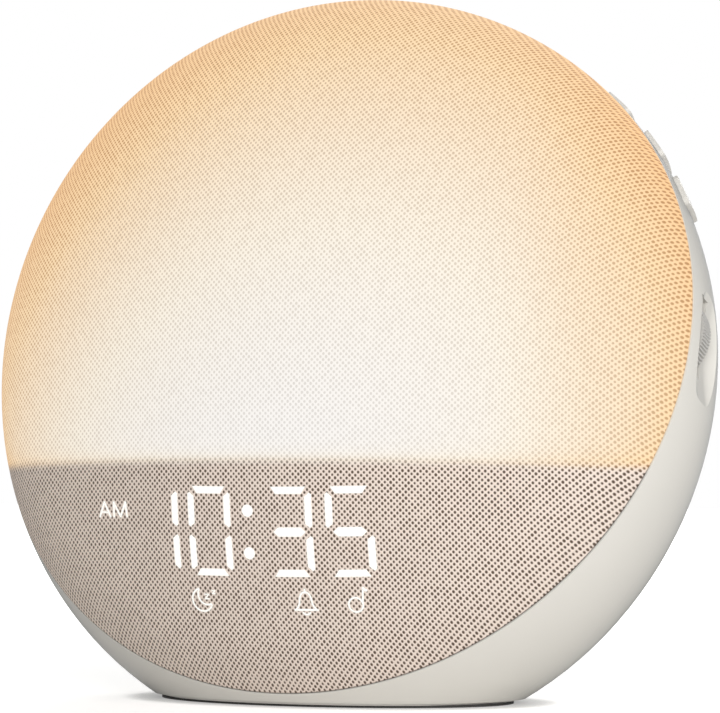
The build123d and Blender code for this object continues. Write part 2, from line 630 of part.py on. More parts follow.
# ---- thumbwheel and encoder -------------------------------------------------------------------------------
def make_thumbwheel():
    points = []
    for i in range(KNURL_COUNT):
        for share, radius in ((0.0, WHEEL_RADIUS - KNURL_DEPTH), (0.30, WHEEL_RADIUS), (0.70, WHEEL_RADIUS)):
            a = 2 * pi * (i + share) / KNURL_COUNT
            points.append((radius * cos(a), radius * sin(a)))
    knurled = extrude(make_face(Polyline(*points, close=True)), WHEEL_WIDTH)
    wheel = knurled + rod(HUB[0], -HUB[1], 0)
    bore = rod(SHAFT_RADIUS + RUNNING_FIT, -HUB[1] - 1, WHEEL_WIDTH - 1.0)
    flat = block(SHAFT_FLAT + RUNNING_FIT, LENS_RADIUS, -9, 9, -HUB[1] - 2, WHEEL_WIDTH)
    wheel -= bore - flat
    return at(SEAM, Pos(WHEEL_X, WHEEL_HEIGHT, WHEEL_BACK) * wheel)


def make_encoder_shaft():
    start = -HUB[1] - CLEAR - BUSHING[1] - ENCODER[1] / 2
    shaft = rod(SHAFT_RADIUS, start, WHEEL_WIDTH - 1.2)
    shaft -= block(SHAFT_FLAT, LENS_RADIUS, -9, 9, -HUB[1], WHEEL_WIDTH)
    return at(SEAM, Pos(WHEEL_X, WHEEL_HEIGHT, WHEEL_BACK) * shaft)


def make_encoder_body():
    side, thick = ENCODER
    radius, length = BUSHING
    body = block(-side / 2, side / 2, -side / 2, side / 2, ENCODER_SEAT, ENCODER_SEAT + thick)
    body += rod(radius, ENCODER_SEAT + thick - 0.5, ENCODER_FACE)
    body -= rod(SHAFT_RADIUS + RUNNING_FIT, ENCODER_SEAT + thick / 2 - CLEAR, ENCODER_FACE + 1)
    return at(SEAM, Pos(WHEEL_X, WHEEL_HEIGHT, 0) * body)


def make_encoder_board():
    width, height = ENCODER_BOARD
    right, half = WHEEL_X + ENCODER[0] / 2, height / 2
    low, high = WHEEL_HEIGHT - half, WHEEL_HEIGHT + half
    board = block(right - width, right, low, high, ENCODER_SEAT - BOARD, ENCODER_SEAT)
    for x, y in ENCODER_POSTS:
        board -= Pos(x, y, 0) * rod(SCREW_SHANK + CLEAR, ENCODER_SEAT - BOARD - 1, ENCODER_SEAT + 1)
    return at(SEAM, board) & lens_body(WALL + SOFT_CLEAR)


def make_board_screws():
    """The screws that hold the button board and the encoder board on their posts."""
    made = [at(SEAM, Pos(x, y, BUTTON_BOARD_SEAT + BOARD) * screw(BOARD + 6)) for x, y in BUTTON_POSTS]
    made += [at(SEAM, Pos(x, y, ENCODER_SEAT) * screw(BOARD + 6)) for x, y in ENCODER_POSTS]
    return joined(made)


# ---- speaker ----------------------------------------------------------------------------------------------
def turned(points):
    """A solid turned about the local Z axis from a closed outline of (radius, height) points."""
    return revolve(Plane.XZ * make_face(Polyline(*points, close=True)), Axis.Z, 360)


SEAT = -SPEAKER_FACE


def make_speaker_frame():
    """A pressed basket: flange with a ledge for the surround, four windows, and a seat for the magnet."""
    throat = CONE[0] + SURROUND
    rim = SPEAKER_RADIUS - CLEAR
    flange = SEAT + SPEAKER_FLANGE
    end = SEAT + BASKET_DEPTH
    basket = turned([
        (throat + LIP, SEAT), (rim, SEAT), (rim, flange), (throat + BASKET_WALL, flange),
        (throat + BASKET_WALL, flange + LIP), (MAGNET[0] - 1, end), (CONE[1] + 1, end),
        (CONE[1] + 1, end - BASKET_WALL), (MAGNET[0] - 2, end - BASKET_WALL), (throat, flange + LIP),
        (throat, SEAT + LEDGE), (throat + LIP, SEAT + LEDGE)])
    for turn in range(4):
        window = Pos(throat, 0, SEAT + BASKET_DEPTH / 2 + 2) * Box(*BASKET_WINDOW, BASKET_DEPTH / 2)
        basket -= Rot(0, 0, 90 * turn) * window
    for place in SPEAKER_SCREWS:
        basket -= place * rod(SCREW_SHANK + CLEAR, SEAT - 1, flange + 1)
    return at(LENS, basket)


def make_speaker_magnet():
    end = SEAT + BASKET_DEPTH
    radius, thick = MAGNET
    ring = turned([(CONE[1] - 0.6, end), (radius, end), (radius, end + thick), (0, end + thick),
                   (0, end - 1), (CONE[1] - 2.4, end - 1), (CONE[1] - 2.4, end + thick - 2),
                   (CONE[1] - 0.6, end + thick - 2)])
    return at(LENS, ring)


def make_speaker_cone():
    """Paper cone with the voice coil's tube, which stands in the magnet's gap."""
    outer, neck, deep = CONE
    rise = SEAT + LEDGE + PAPER / 5
    coil = SEAT + BASKET_DEPTH + 3
    cone = turned([
        (outer, rise), (outer, rise + PAPER), (neck - 0.6, rise + deep + PAPER), (neck - 1.2, coil),
        (neck - 1.8, coil), (neck - 1.8, rise + deep - PAPER), (neck - 0.6, rise + deep - PAPER)])
    return at(LENS, cone)


def make_dust_cap():
    _, neck, deep = CONE
    rise = SEAT + LEDGE + deep - PAPER
    edge = neck - 2.0
    cap = turned([(0, rise - 2.4), (edge / 2, rise - 1.9), (edge, rise - 0.2), (edge, rise + 0.4),
                  (edge / 2, rise - 1.9 + PAPER), (0, rise - 2.4 + PAPER)])
    return at(LENS, cap)


def make_speaker_surround():
    """The rubber half-roll between the cone's edge and the basket's ledge."""
    inner = CONE[0]
    outer = inner + SURROUND
    ledge = SEAT + LEDGE
    crest = ledge - SURROUND / 2
    thin = PAPER / 2
    rim = outer + LIP - CLEAR
    lifted = ledge - CLEAR / 4
    roll = turned([
        (inner - LIP, ledge), (inner, ledge), (inner + 0.3 * SURROUND, crest + thin),
        (outer - 0.3 * SURROUND, crest + thin), (outer, lifted), (rim, lifted), (rim, ledge - thin),
        (outer + thin / 2, ledge - thin), (outer - 0.25 * SURROUND, crest), (inner + 0.25 * SURROUND, crest),
        (inner - thin / 2, ledge - thin), (inner - LIP, ledge - thin)])
    return at(LENS, roll)


def make_speaker_chamber():
    inner = CHAMBER_RADIUS - CHAMBER_WALL
    cup = tube(CHAMBER_RADIUS, inner, SEAT, SEAT + CHAMBER_DEPTH)
    lid = rod(CHAMBER_RADIUS, SEAT + CHAMBER_DEPTH - CHAMBER_WALL, SEAT + CHAMBER_DEPTH)
    return at(LENS, cup + lid)


def make_speaker_screws():
    return joined([at(LENS, place * Pos(0, 0, SEAT + SPEAKER_FLANGE) * screw(SPEAKER_FLANGE + 3))
                   for place in SPEAKER_SCREWS])


# ---- base, main board, power jack -------------------------------------------------------------------------
BOARD_Y = FOOT_Y + MAIN_BOARD_BACK
BOARD_Z = BASE_TOP + STANDOFF[1]
STANDOFFS = [(x * STANDOFF_PLACE[0], BOARD_Y + y * STANDOFF_PLACE[1]) for x in (-1, 1) for y in (-1, 1)]


def make_base_plate():
    plate = lens_body(BASE_INSET) & slab(GROUND, FOOT, SHELL_BOTTOM)
    plate += lens_body(WALL + 2 * CLEAR) & slab(GROUND, SHELL_BOTTOM - 0.1, BASE_TOP)
    for x, y in BASE_SCREWS:
        plate -= Pos(x, y, 0) * rod(SCREW_SHANK + CLEAR, 0, LARGE / 8)
        plate -= Pos(x, y, 0) * rod(SCREW_HEAD[0] + CLEAR, 0, FOOT + SCREW_HEAD[1])
    for x, y in STANDOFFS:
        plate += Pos(x, y, 0) * (rod(STANDOFF[0], BASE_TOP - 0.5, BOARD_Z)
                                 - rod(SCREW_SHANK + PIPE_CLEAR, BASE_TOP, LARGE / 8))
    return plate


def make_rubber_foot():
    outer = (FOOT_HALF_X - FOOT_INSET, FOOT_HALF_Y - FOOT_INSET)
    ring = Ellipse(*outer) - Ellipse(outer[0] - FOOT_WIDTH, outer[1] - FOOT_WIDTH)
    return Pos(0, FOOT_Y, 0) * extrude(ring, FOOT)


def make_base_screws():
    upside_down = Pos(0, 0, FOOT + SCREW_HEAD[1]) * Rot(180, 0, 0)
    return joined([Pos(x, y, 0) * upside_down * screw(BASE_PLUG + 7) for x, y in BASE_SCREWS])


def make_main_board():
    board = Pos(0, BOARD_Y, BOARD_Z + BOARD / 2) * Box(*MAIN_BOARD, BOARD)
    tongue = JACK[0] / 2 + JACK_MARGIN
    board += block(-tongue, tongue, BOARD_Y, JACK_FRONT - JACK_MARGIN, BOARD_Z, BOARD_Z + BOARD)
    for x, y in STANDOFFS:
        board -= Pos(x, y, 0) * rod(SCREW_SHANK + CLEAR, BOARD_Z - 1, BOARD_Z + BOARD + 1)
    return board


def make_main_screws():
    return joined([Pos(x, y, BOARD_Z + BOARD) * screw(BOARD + 3.5) for x, y in STANDOFFS])


def make_main_chips():
    """The processor, the audio amplifier and the flash chip."""
    top = BOARD_Z + BOARD
    return joined([Pos(x, BOARD_Y + y, top + tall / 2) * Box(wide, deep, tall)
                   for x, y, wide, deep, tall in CHIPS])


def make_capacitors():
    top = BOARD_Z + BOARD
    radius, tall = CAPACITOR
    return joined([Pos(x, BOARD_Y + y, top) * rod(radius, 0, tall) for x, y in CAPACITOR_PLACES])


def make_cell_holder():
    radius, thick = CELL
    top = BOARD_Z + BOARD
    tall = thick + HOLDER_WALL - CLEAR
    holder = Pos(0, 0, tall / 2) * Box(2 * (radius + HOLDER_WALL), 2 * radius + HOLDER_WALL, tall)
    holder -= rod(radius + CLEAR, CELL_FLOOR, 2 * tall)
    return Pos(CELL_PLACE[0], BOARD_Y + CELL_PLACE[1], top) * holder


def make_backup_cell():
    radius, thick = CELL
    place = Pos(CELL_PLACE[0], BOARD_Y + CELL_PLACE[1], BOARD_Z + BOARD)
    return place * rod(radius, CELL_FLOOR, CELL_FLOOR + thick)


def make_power_jack():
    width, length, height = JACK
    front = JACK_FRONT
    base = BOARD_Z + BOARD
    case = block(-width / 2, width / 2, front - length, front, base, base + height)
    bore = Pos(0, front, JACK_Z) * Rot(90, 0, 0) * (rod(JACK_BORE[0], -1, JACK_BORE[1])
                                                    - rod(JACK_PIN, -2, JACK_BORE[1] + 1))
    return case - bore + Pos(0, front - 1, JACK_Z) * Rot(90, 0, 0) * rod(JACK_PIN, 0, JACK_BORE[1])


def make_display_ribbon():
    """A flat flexible cable from the foot of the display board down to the main board."""
    start = DISPLAY.location * Pos(0, BLOCK[2] + 5, -DISPLAY_DEPTH - BOARD - PIPE_CLEAR)
    top = start.position
    width, thick = RIBBON
    end = BOARD_Y - RIBBON_DROP
    route = [(top.Y, top.Z), (top.Y + 5, top.Z), (top.Y + 9, top.Z - 12), (end, BOARD_Z + BOARD + 6),
             (end, BOARD_Z + BOARD)]
    strip = trace(FilletPolyline(*route, radius=5 * thick), thick)
    return Pos(RIBBON_X, 0, 0) * extrude(Plane.YZ * strip, width)


# ---- write every piece ------------------------------------------------------------------------------------
def make_parts():
    holes = tray_screw_holes()
    frame = make_front_frame()
    tray = make_led_tray()
    for hole in holes:
        frame -= hole
        tray -= hole
    parts = {
        "rear_shell": make_rear_shell(),
        "front_frame": frame,
        "fabric_cover": make_fabric_cover(),
        "diffuser_dome": make_diffuser_dome(),
        "lower_panel": make_lower_panel(),
        "light_baffle": make_light_baffle(),
        "led_tray": tray,
        "tray_screws": make_tray_screws(),
        "led_board": make_led_board(),
        "lamp_leds": make_lamp_leds(),
        "display_block": make_display_block(),
        "digit_light_pipes": joined(light_pipes(segment_outlines(), 0, PIPE_BACK)),
        "indicator_windows": joined(light_pipes(indicator_outlines(), 0, PIPE_BACK)),
        "display_board": make_display_board(),
        "display_leds": make_display_leds(),
        "display_screws": make_display_screws(),
        "display_ribbon": make_display_ribbon(),
        "tact_switches": make_switches(),
        "button_board": make_button_board(),
        "thumbwheel": make_thumbwheel(),
        "encoder_shaft": make_encoder_shaft(),
        "encoder_body": make_encoder_body(),
        "encoder_board": make_encoder_board(),
        "board_screws": make_board_screws(),
        "speaker_frame": make_speaker_frame(),
        "speaker_magnet": make_speaker_magnet(),
        "speaker_cone": make_speaker_cone(),
        "speaker_dust_cap": make_dust_cap(),
        "speaker_surround": make_speaker_surround(),
        "speaker_chamber": make_speaker_chamber(),
        "speaker_screws": make_speaker_screws(),
        "base_plate": make_base_plate(),
        "rubber_foot": make_rubber_foot(),
        "base_screws": make_base_screws(),
        "main_board": make_main_board(),
        "main_board_screws": make_main_screws(),
        "main_board_chips": make_main_chips(),
        "main_board_capacitors": make_capacitors(),
        "cell_holder": make_cell_holder(),
        "backup_cell": make_backup_cell(),
        "power_jack": make_power_jack(),
    }
    for name, angle in BUTTON_ANGLES.items():
        parts[f"button_{name}"] = make_button(angle)
        parts[f"switch_plunger_{name}"] = make_plunger(angle)
    return parts


os.makedirs("parts", exist_ok=True)
for node, shape in make_parts().items():
    export_step(shape, f"parts/{node}.step")
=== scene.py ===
# %% [markdown]
# # A sunrise alarm clock
# A round bedside lamp that brightens slowly in the morning, with a clock in its lower third. This notebook
# loads the clock's CAD model as a fixed frame, keeps every moulded piece exactly where it is, and gives
# each one the finish of the real material. Only the stretched fabric cover and the light that shines
# through it are made again here, because cloth and light are what CAD is poor at. Blender counts in metres.
# The sizes of the body and the display are written in millimetres.

import bmesh
import bpy
import json
import numpy as np
from math import cos, pi, radians, sin, sqrt
from mathutils import Matrix, Vector


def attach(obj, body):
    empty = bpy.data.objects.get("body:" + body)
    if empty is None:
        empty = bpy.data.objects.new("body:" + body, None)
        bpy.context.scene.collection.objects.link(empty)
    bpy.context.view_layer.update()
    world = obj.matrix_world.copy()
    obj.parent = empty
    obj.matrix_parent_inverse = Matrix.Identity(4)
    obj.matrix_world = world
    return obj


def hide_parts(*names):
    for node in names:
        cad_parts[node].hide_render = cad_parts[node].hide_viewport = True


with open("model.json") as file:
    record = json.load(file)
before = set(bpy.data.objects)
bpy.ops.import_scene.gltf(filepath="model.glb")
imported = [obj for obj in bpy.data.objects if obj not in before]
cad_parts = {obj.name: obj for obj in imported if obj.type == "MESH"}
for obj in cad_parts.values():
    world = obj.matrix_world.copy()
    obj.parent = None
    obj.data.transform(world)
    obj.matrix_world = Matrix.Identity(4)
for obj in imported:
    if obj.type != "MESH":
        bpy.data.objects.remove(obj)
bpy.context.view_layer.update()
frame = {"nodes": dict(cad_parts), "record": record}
MM = 0.001

# %% [markdown]
# ## The camera
# A product picture of a small object is taken from about a metre with a long lens, so that its round body
# stays round. The camera stands to the right of the clock, just above the table, and looks up by a degree
# or so. Its direction is written as one vector, which is easier to get right than three angles.

# %% Camera
CAMERA_PLACE = Vector((0.43423, -0.91072, 0.06566))
CAMERA_BACK = Vector((0.42782, -0.90354, -0.02419)).normalized()
LENS_LENGTH = 190.7

camera_data = bpy.data.cameras.new("camera")
camera_data.lens = LENS_LENGTH
camera_data.sensor_fit = "HORIZONTAL"
camera = bpy.data.objects.new("camera", camera_data)
bpy.context.scene.collection.objects.link(camera)
sideways = Vector((0, 0, 1)).cross(CAMERA_BACK).normalized()
upwards = CAMERA_BACK.cross(sideways)
facing = Matrix((sideways, upwards, CAMERA_BACK)).transposed().to_4x4()
camera.matrix_world = Matrix.Translation(CAMERA_PLACE) @ facing
bpy.context.scene.camera = camera
bpy.context.scene.view_settings.view_transform = "Standard"
print("camera", round(CAMERA_PLACE.length, 2), "m from the origin")

# %% [markdown]
# ## Helpers for shader nodes
# A material in Blender is a small network: textures and sums on the left feed one shader on the right.
# Written out in full, each node takes four or five lines, so a few short helpers carry the rest of this
# notebook. They add a node, a sum, a mix of two colours, a soft step or a cloud of noise.

# %% Node helpers
def put(tree, socket, value):
    """Writes a value into a socket, or links it if it is another node's output."""
    if isinstance(value, bpy.types.NodeSocket):
        tree.links.new(value, socket)
    else:
        socket.default_value = value


def add(tree, kind, inputs=None, **settings):
    node = tree.nodes.new("ShaderNode" + kind)
    for name, value in settings.items():
        setattr(node, name, value)
    for key, value in (inputs or {}).items():
        put(tree, node.inputs[key], value)
    return node


def calc(tree, operation, *values, clamp=False):
    node = add(tree, "Math", operation=operation, use_clamp=clamp)
    for socket, value in zip(node.inputs, values):
        put(tree, socket, value)
    return node.outputs[0]


def plus(tree, first, second):
    return calc(tree, "ADD", first, second)


def minus(tree, first, second):
    return calc(tree, "SUBTRACT", first, second)


def times(tree, first, second):
    return calc(tree, "MULTIPLY", first, second)


def blend_colour(tree, share, first, second, how="MIX"):
    node = add(tree, "Mix", data_type="RGBA", blend_type=how)
    for place, value in ((0, share), (6, first), (7, second)):
        put(tree, node.inputs[place], value)
    return node.outputs[2]


def filter_colour(tree, first, second):
    """Two colours multiplied, as when light passes through one of them."""
    return blend_colour(tree, 1.0, first, second, "MULTIPLY")


def grey(tree, value):
    return add(tree, "CombineColor", {0: value, 1: value, 2: value}).outputs[0]


def between(tree, value, low, high, start=0.0, end=1.0, shape="SMOOTHSTEP"):
    """Turns low...high into start...end, with a soft beginning and end unless shape is LINEAR."""
    inputs = {0: value, 1: low, 2: high, 3: start, 4: end}
    return add(tree, "MapRange", inputs, interpolation_type=shape).outputs[0]


def where(tree):
    """The place on the object in metres. Every CAD piece keeps its place in its mesh, so it fits them all."""
    return add(tree, "TexCoord").outputs["Object"]


def noise(tree, scale, detail, place=None, **more):
    """Cloudy noise from 0 to 1, scale clouds to the metre of the object, or to the unit of another place."""
    inputs = {"Vector": where(tree) if place is None else place, "Scale": scale, "Detail": detail, **more}
    return add(tree, "TexNoise", inputs).outputs[0]


def ramp(tree, value, stops):
    node = add(tree, "ValToRGB", {0: value})
    band = node.color_ramp
    while len(band.elements) < len(stops):
        band.elements.new(0.5)
    for element, (place, colour) in zip(band.elements, stops):
        element.position, element.color = place, colour
    return node.outputs[0]


def paint(red, green, blue):
    """A colour as a paint program shows it, 0 to 255, as the linear numbers that shaders add up."""
    def linear(c):
        c /= 255
        return c / 12.92 if c <= 0.04045 else ((c + 0.055) / 1.055) ** 2.4
    return (linear(red), linear(green), linear(blue), 1.0)


def scaled(colour, factor, more=0.0):
    """The same colour times a factor, and lifted by a little more."""
    return tuple(min(1.0, c * factor + more) for c in colour[:3]) + (1.0,)


BLACK, WHITE = (0, 0, 0, 1), (1, 1, 1, 1)


# %% Node groups and materials
SOCKETS = {"value": "NodeSocketFloat", "colour": "NodeSocketColor", "vector": "NodeSocketVector"}


def new_group(name, inputs, outputs):
    """A node group with named sockets, with the nodes that its inputs come from and its outputs go to."""
    group = bpy.data.node_groups.new(name, "ShaderNodeTree")
    for label, (kind, value) in inputs.items():
        socket = group.interface.new_socket(name=label, in_out="INPUT", socket_type=SOCKETS[kind])
        if value is not None:
            socket.default_value = value
    for label, kind in outputs.items():
        group.interface.new_socket(name=label, in_out="OUTPUT", socket_type=SOCKETS[kind])
    print("group", name, "gives", ", ".join(outputs))
    return group, group.nodes.new("NodeGroupInput"), group.nodes.new("NodeGroupOutput")


def place_group(tree, group, **values):
    """Puts a node group into a material. A value named skin_tone goes to the input called Skin tone."""
    node = add(tree, "Group", node_tree=group)
    for key, value in values.items():
        put(tree, node.inputs[key.replace("_", " ").capitalize()], value)
    return node


def new_material(name, **sockets):
    """A material with one Principled shader. The sockets given are set on the shader itself. What glows isn't
    treated as a lamp: the large cover would take the samples that the lamps need."""
    material = bpy.data.materials.new(name)
    material.use_nodes = True
    material.cycles.emission_sampling = "NONE"
    tree = material.node_tree
    shader = tree.nodes["Principled BSDF"]
    for key, value in sockets.items():
        put(tree, shader.inputs[key.replace("_", " ").title().replace("Ior", "IOR")], value)
    print("material", name)
    return material, tree, shader


def add_bump(tree, shader, height, depth):
    """Lets a height between 0 and 1 catch the light as if it stood that many metres deep."""
    bump = add(tree, "Bump", {"Height": height, "Distance": depth, "Strength": 1.0})
    put(tree, shader.inputs["Normal"], bump.outputs[0])


# %% [markdown]
# ## Studio and light
# The clock stands on a seamless pale table in soft daylight. Two large area lamps in front, one straight on
# and one to the right, do most of the work, two behind keep the back readable, and the pale world fills the
# rest. The lamps are set so that a surface renders about as light as its written colour. The white of the
# background isn't made with more light: the world shows white only to rays that come straight from the
# camera, or through a reflection, and the table adds a little in the same way, so it stays white and still
# takes the lamps' shadow. Close round the clock's foot, ambient occlusion also paints a contact shadow into
# the table's colour and glow.

# %% Lamps
BODY_MIDDLE = Vector((0, 0, 0.09))
LAMP_HEIGHT = 0.9
LAMPS = {                               # place, width and watts of each
    "front_light": ((0.785, -1.66, 0.58), 0.9, 21),
    "side_light": ((1.73, -0.62, 0.58), 0.9, 11),
    "back_light": ((-0.62, 1.32, 1.31), 1.2, 7),
    "rear_light": ((-0.45, 1.75, 0.5), 0.9, 5),
}
for name, (place, width, watts) in LAMPS.items():
    lamp = bpy.data.lights.new(name, "AREA")
    lamp.shape, lamp.size, lamp.size_y, lamp.energy = "RECTANGLE", width, LAMP_HEIGHT, watts
    lamp_object = bpy.data.objects.new(name, lamp)
    lamp_object.location = place
    lamp_object.rotation_euler = (BODY_MIDDLE - Vector(place)).to_track_quat("-Z", "Y").to_euler()
    bpy.context.scene.collection.objects.link(lamp_object)
print("lamps:", ", ".join(LAMPS))

# %% World and table
def seen_directly(tree):
    """1 for the camera's rays, reflections and see-through, 0 for the light that a surface gathers."""
    path = add(tree, "LightPath")
    direct = calc(tree, "MAXIMUM", path.outputs["Is Camera Ray"], path.outputs["Is Glossy Ray"])
    return calc(tree, "MAXIMUM", direct, path.outputs["Is Transmission Ray"])


AMBIENT = 0.22
world = bpy.data.worlds.new("studio")
bpy.context.scene.world = world
world.use_nodes = True
tree = world.node_tree
sky = tree.nodes["Background"]
sky.inputs["Color"].default_value = WHITE
put(tree, sky.inputs["Strength"], between(tree, seen_directly(tree), 0, 1, AMBIENT, 1.0))

TABLE_HALF = 3.0
TABLE_WHITE = paint(240, 239, 237)
LIFT_NEAR, LIFT_FAR = 0.5, 1.0          # what the table adds close to the clock, and far from it
LIFT_BAND = (0.13, 0.7)                 # between these distances from the clock
SHADOW_REACH = 0.007                    # how near the clock the table is darker
SHADOW_BAND = (0.3, 0.9)                # from fully covered to open, as a share of the sky that is seen
SHADOW_DEPTH = 0.58                     # what is left of the lift where the table is covered
corners = [(x * TABLE_HALF, y * TABLE_HALF, 0) for x, y in ((-1, -1), (1, -1), (1, 1), (-1, 1))]
table_mesh = bpy.data.meshes.new("table")
table_mesh.from_pydata(corners, [], [(0, 1, 2, 3)])
table = bpy.data.objects.new("table", table_mesh)
bpy.context.scene.collection.objects.link(table)
table_paint, tree, shader = new_material("table_paint", roughness=0.7, emission_strength=1.0,
                                         specular_ior_level=0.15)
from_clock = add(tree, "VectorMath", {0: where(tree)}, operation="LENGTH").outputs["Value"]
lift = between(tree, from_clock, *LIFT_BAND, LIFT_NEAR, LIFT_FAR)
# Painted shadow: ambient occlusion darkens the table's colour towards black and dims its glow close round the
# clock.
covered = add(tree, "AmbientOcclusion", {"Distance": SHADOW_REACH}, samples=8).outputs["AO"]
open_sky = between(tree, covered, *SHADOW_BAND, SHADOW_DEPTH, 1.0)
seen = seen_directly(tree)
put(tree, shader.inputs["Emission Color"], grey(tree, times(tree, times(tree, seen, lift), open_sky)))
shade = times(tree, seen, minus(tree, 1.0, open_sky))
put(tree, shader.inputs["Base Color"], blend_colour(tree, shade, TABLE_WHITE, BLACK))
table_mesh.materials.append(table_paint)

# %% [markdown]
# ## Finishes that several pieces share
# Injection-moulded plastic is never perfectly even. The mould is spark-eroded, which leaves a fine satin
# grain, the colour drifts by a percent or two over a large wall, and handled edges wear a touch lighter and
# smoother. Each of these effects is a node group, made once and placed in every plastic with its own
# numbers. A group puts out only colours and values. The shader itself stays in each material.

# %% Group: moulded skin
GRAIN_SHADE = 0.03                      # how much the fine grain changes the colour
PEBBLE_SHARE = 0.7                      # of the grain's height that is round pebbles. The rest is fine noise
moulded_skin, given, result = new_group(
    "moulded_skin",
    {"Colour": ("colour", (0.8, 0.8, 0.8, 1)), "Grain size": ("value", 0.0002), "Drift": ("value", 0.03),
     "Smooth": ("value", 0.38), "Rough": ("value", 0.52)},
    {"Colour": "colour", "Roughness": "value", "Height": "value"})
tree = moulded_skin
cloud = noise(tree, 28.0, 3.0)
scale = calc(tree, "DIVIDE", 1.0, given.outputs["Grain size"])
pebbles = add(tree, "TexVoronoi", {"Vector": where(tree), "Scale": scale}, feature="SMOOTH_F1")
fine = noise(tree, scale, 2.0)
shade = calc(tree, "MULTIPLY_ADD", minus(tree, cloud, 0.5), given.outputs["Drift"], 1.0)
shade = calc(tree, "MULTIPLY_ADD", minus(tree, fine, 0.5), GRAIN_SHADE, shade)
put(tree, result.inputs["Colour"], filter_colour(tree, given.outputs["Colour"], grey(tree, shade)))
put(tree, result.inputs["Roughness"],
    between(tree, cloud, 0.3, 0.7, given.outputs["Smooth"], given.outputs["Rough"], "LINEAR"))
put(tree, result.inputs["Height"], calc(tree, "MULTIPLY_ADD", pebbles.outputs["Distance"], PEBBLE_SHARE,
                                        times(tree, fine, 1 - PEBBLE_SHARE)))

# %% Group: handled edges
handled_edges, given, result = new_group(
    "handled_edges", {"Reach": ("value", 0.0006), "Break up": ("value", 0.5)}, {"Worn": "value"})
tree = handled_edges
rounded = add(tree, "Bevel", {"Radius": given.outputs["Reach"]}, samples=4).outputs[0]
flat = add(tree, "NewGeometry").outputs["Normal"]
agree = add(tree, "VectorMath", {0: rounded, 1: flat}, operation="DOT_PRODUCT").outputs["Value"]
edge = between(tree, minus(tree, 1.0, agree), 0.02, 0.25)
broken = between(tree, noise(tree, 240.0, 3.0), times(tree, given.outputs["Break up"], 0.6), 0.75)
put(tree, result.inputs["Worn"], times(tree, edge, broken))

# %% Group: settled dust
settled_dust, given, result = new_group("settled_dust", {"Amount": ("value", 0.1)}, {"Dust": "value"})
tree = settled_dust
up = add(tree, "SeparateXYZ", {0: add(tree, "NewGeometry").outputs["Normal"]}).outputs[2]
specks = noise(tree, 900.0, 4.0, Roughness=0.7)
film = times(tree, between(tree, up, 0.1, 0.9), between(tree, specks, 0.5, 0.72))
put(tree, result.inputs["Dust"], times(tree, film, given.outputs["Amount"]))

# %% [markdown]
# ## Moulded plastics
# The rear shell, the buttons, the base and the wheel are all grey plastics, each with a slightly different
# colour and grain, as parts from different moulds have. One recipe makes them: the moulded skin for colour
# and grain, the handled edges where fingers rub it smooth and light, and a trace of dust on what faces up.
# The real shell looks darker edge-on, where it mirrors a dim room. The white world can't show that, so a
# painted reflection stands in: Layer Weight mixes a dark tone into the shell's colour at glancing angles.
# This goes by the angle of view, so a baked model loses it, and setting its share to 0 leaves it out.

# %% Moulded plastic
SKIN_DEPTH = 0.000004
SKIN_DRIFT = 0.04
DUST_TONE = paint(222, 216, 205)
# Painted reflection at the shell's outline: the dark tone mixed into its colour, and how fast it sets in.
EDGE_SHADE = (0.03, 0.045, 0.06, 1)     # the dim room, which the shell mirrors where it is seen edge-on
EDGE_FALL = 5.0                         # how fast that sets in. 5 is the law of a glancing reflection


def moulded_plastic(name, colour, grain=0.00018, smooth=0.42, rough=0.54, worn=0.12, dust=0.05, shine=0.4,
                    painted_edge_reflection=0.0):
    material, tree, shader = new_material(name, specular_ior_level=shine)
    skin = place_group(tree, moulded_skin, colour=colour, grain_size=grain, drift=SKIN_DRIFT, smooth=smooth,
                       rough=rough)
    base, roughness = skin.outputs["Colour"], skin.outputs["Roughness"]
    if worn:
        edges = times(tree, place_group(tree, handled_edges).outputs["Worn"], worn)
        base = blend_colour(tree, edges, base, scaled(colour, 1.25, 0.02))
        roughness = calc(tree, "ADD", roughness, times(tree, edges, -0.15), clamp=True)
    film = place_group(tree, settled_dust, amount=dust).outputs["Dust"]
    base = blend_colour(tree, film, base, DUST_TONE)
    # Painted reflection: at glancing angles the colour darkens towards the dim room that the shell would
    # mirror.
    if painted_edge_reflection:
        glancing = calc(tree, "POWER", add(tree, "LayerWeight").outputs["Facing"], EDGE_FALL)
        base = blend_colour(tree, times(tree, glancing, painted_edge_reflection), base, EDGE_SHADE)
    put(tree, shader.inputs["Base Color"], base)
    put(tree, shader.inputs["Roughness"], roughness)
    add_bump(tree, shader, skin.outputs["Height"], SKIN_DEPTH)
    return material


finishes = {
    "grey_plastic": moulded_plastic("satin_grey_plastic", paint(220, 217, 210), shine=0.2, painted_edge_reflection=0.85),
    "button_plastic": moulded_plastic("button_plastic", paint(214, 211, 205), 0.00015, 0.35, 0.46, worn=0,
                                      dust=0.02),
    "base_plastic": moulded_plastic("base_plastic", paint(226, 223, 217), 0.00022),
    "wheel_plastic": moulded_plastic("wheel_plastic", paint(188, 186, 182), 0.00015, worn=0.25, dust=0.02),
    "white_plastic": moulded_plastic("white_plastic", paint(236, 235, 231), smooth=0.3, rough=0.45),
    "dark_plastic": moulded_plastic("light_block_plastic", paint(38, 38, 40), smooth=0.5, rough=0.7,
                                    worn=0.3),
    "black_plastic": moulded_plastic("black_plastic", paint(30, 30, 32), smooth=0.35, rough=0.5, worn=0.3),
}

# %% [markdown]
# ## Rubber, metal, paper and glassy parts
# The rest of the recipes are short. Rubber is dark, rough and dusty. Turned and pressed metal has fine
# lines along the way it was worked, so the noise is stretched in one direction. The speaker's cone is
# grey-black paper pulp with fibres. The light pipes and windows are clear acrylic, which is a plain
# Transmission Weight and a low roughness.

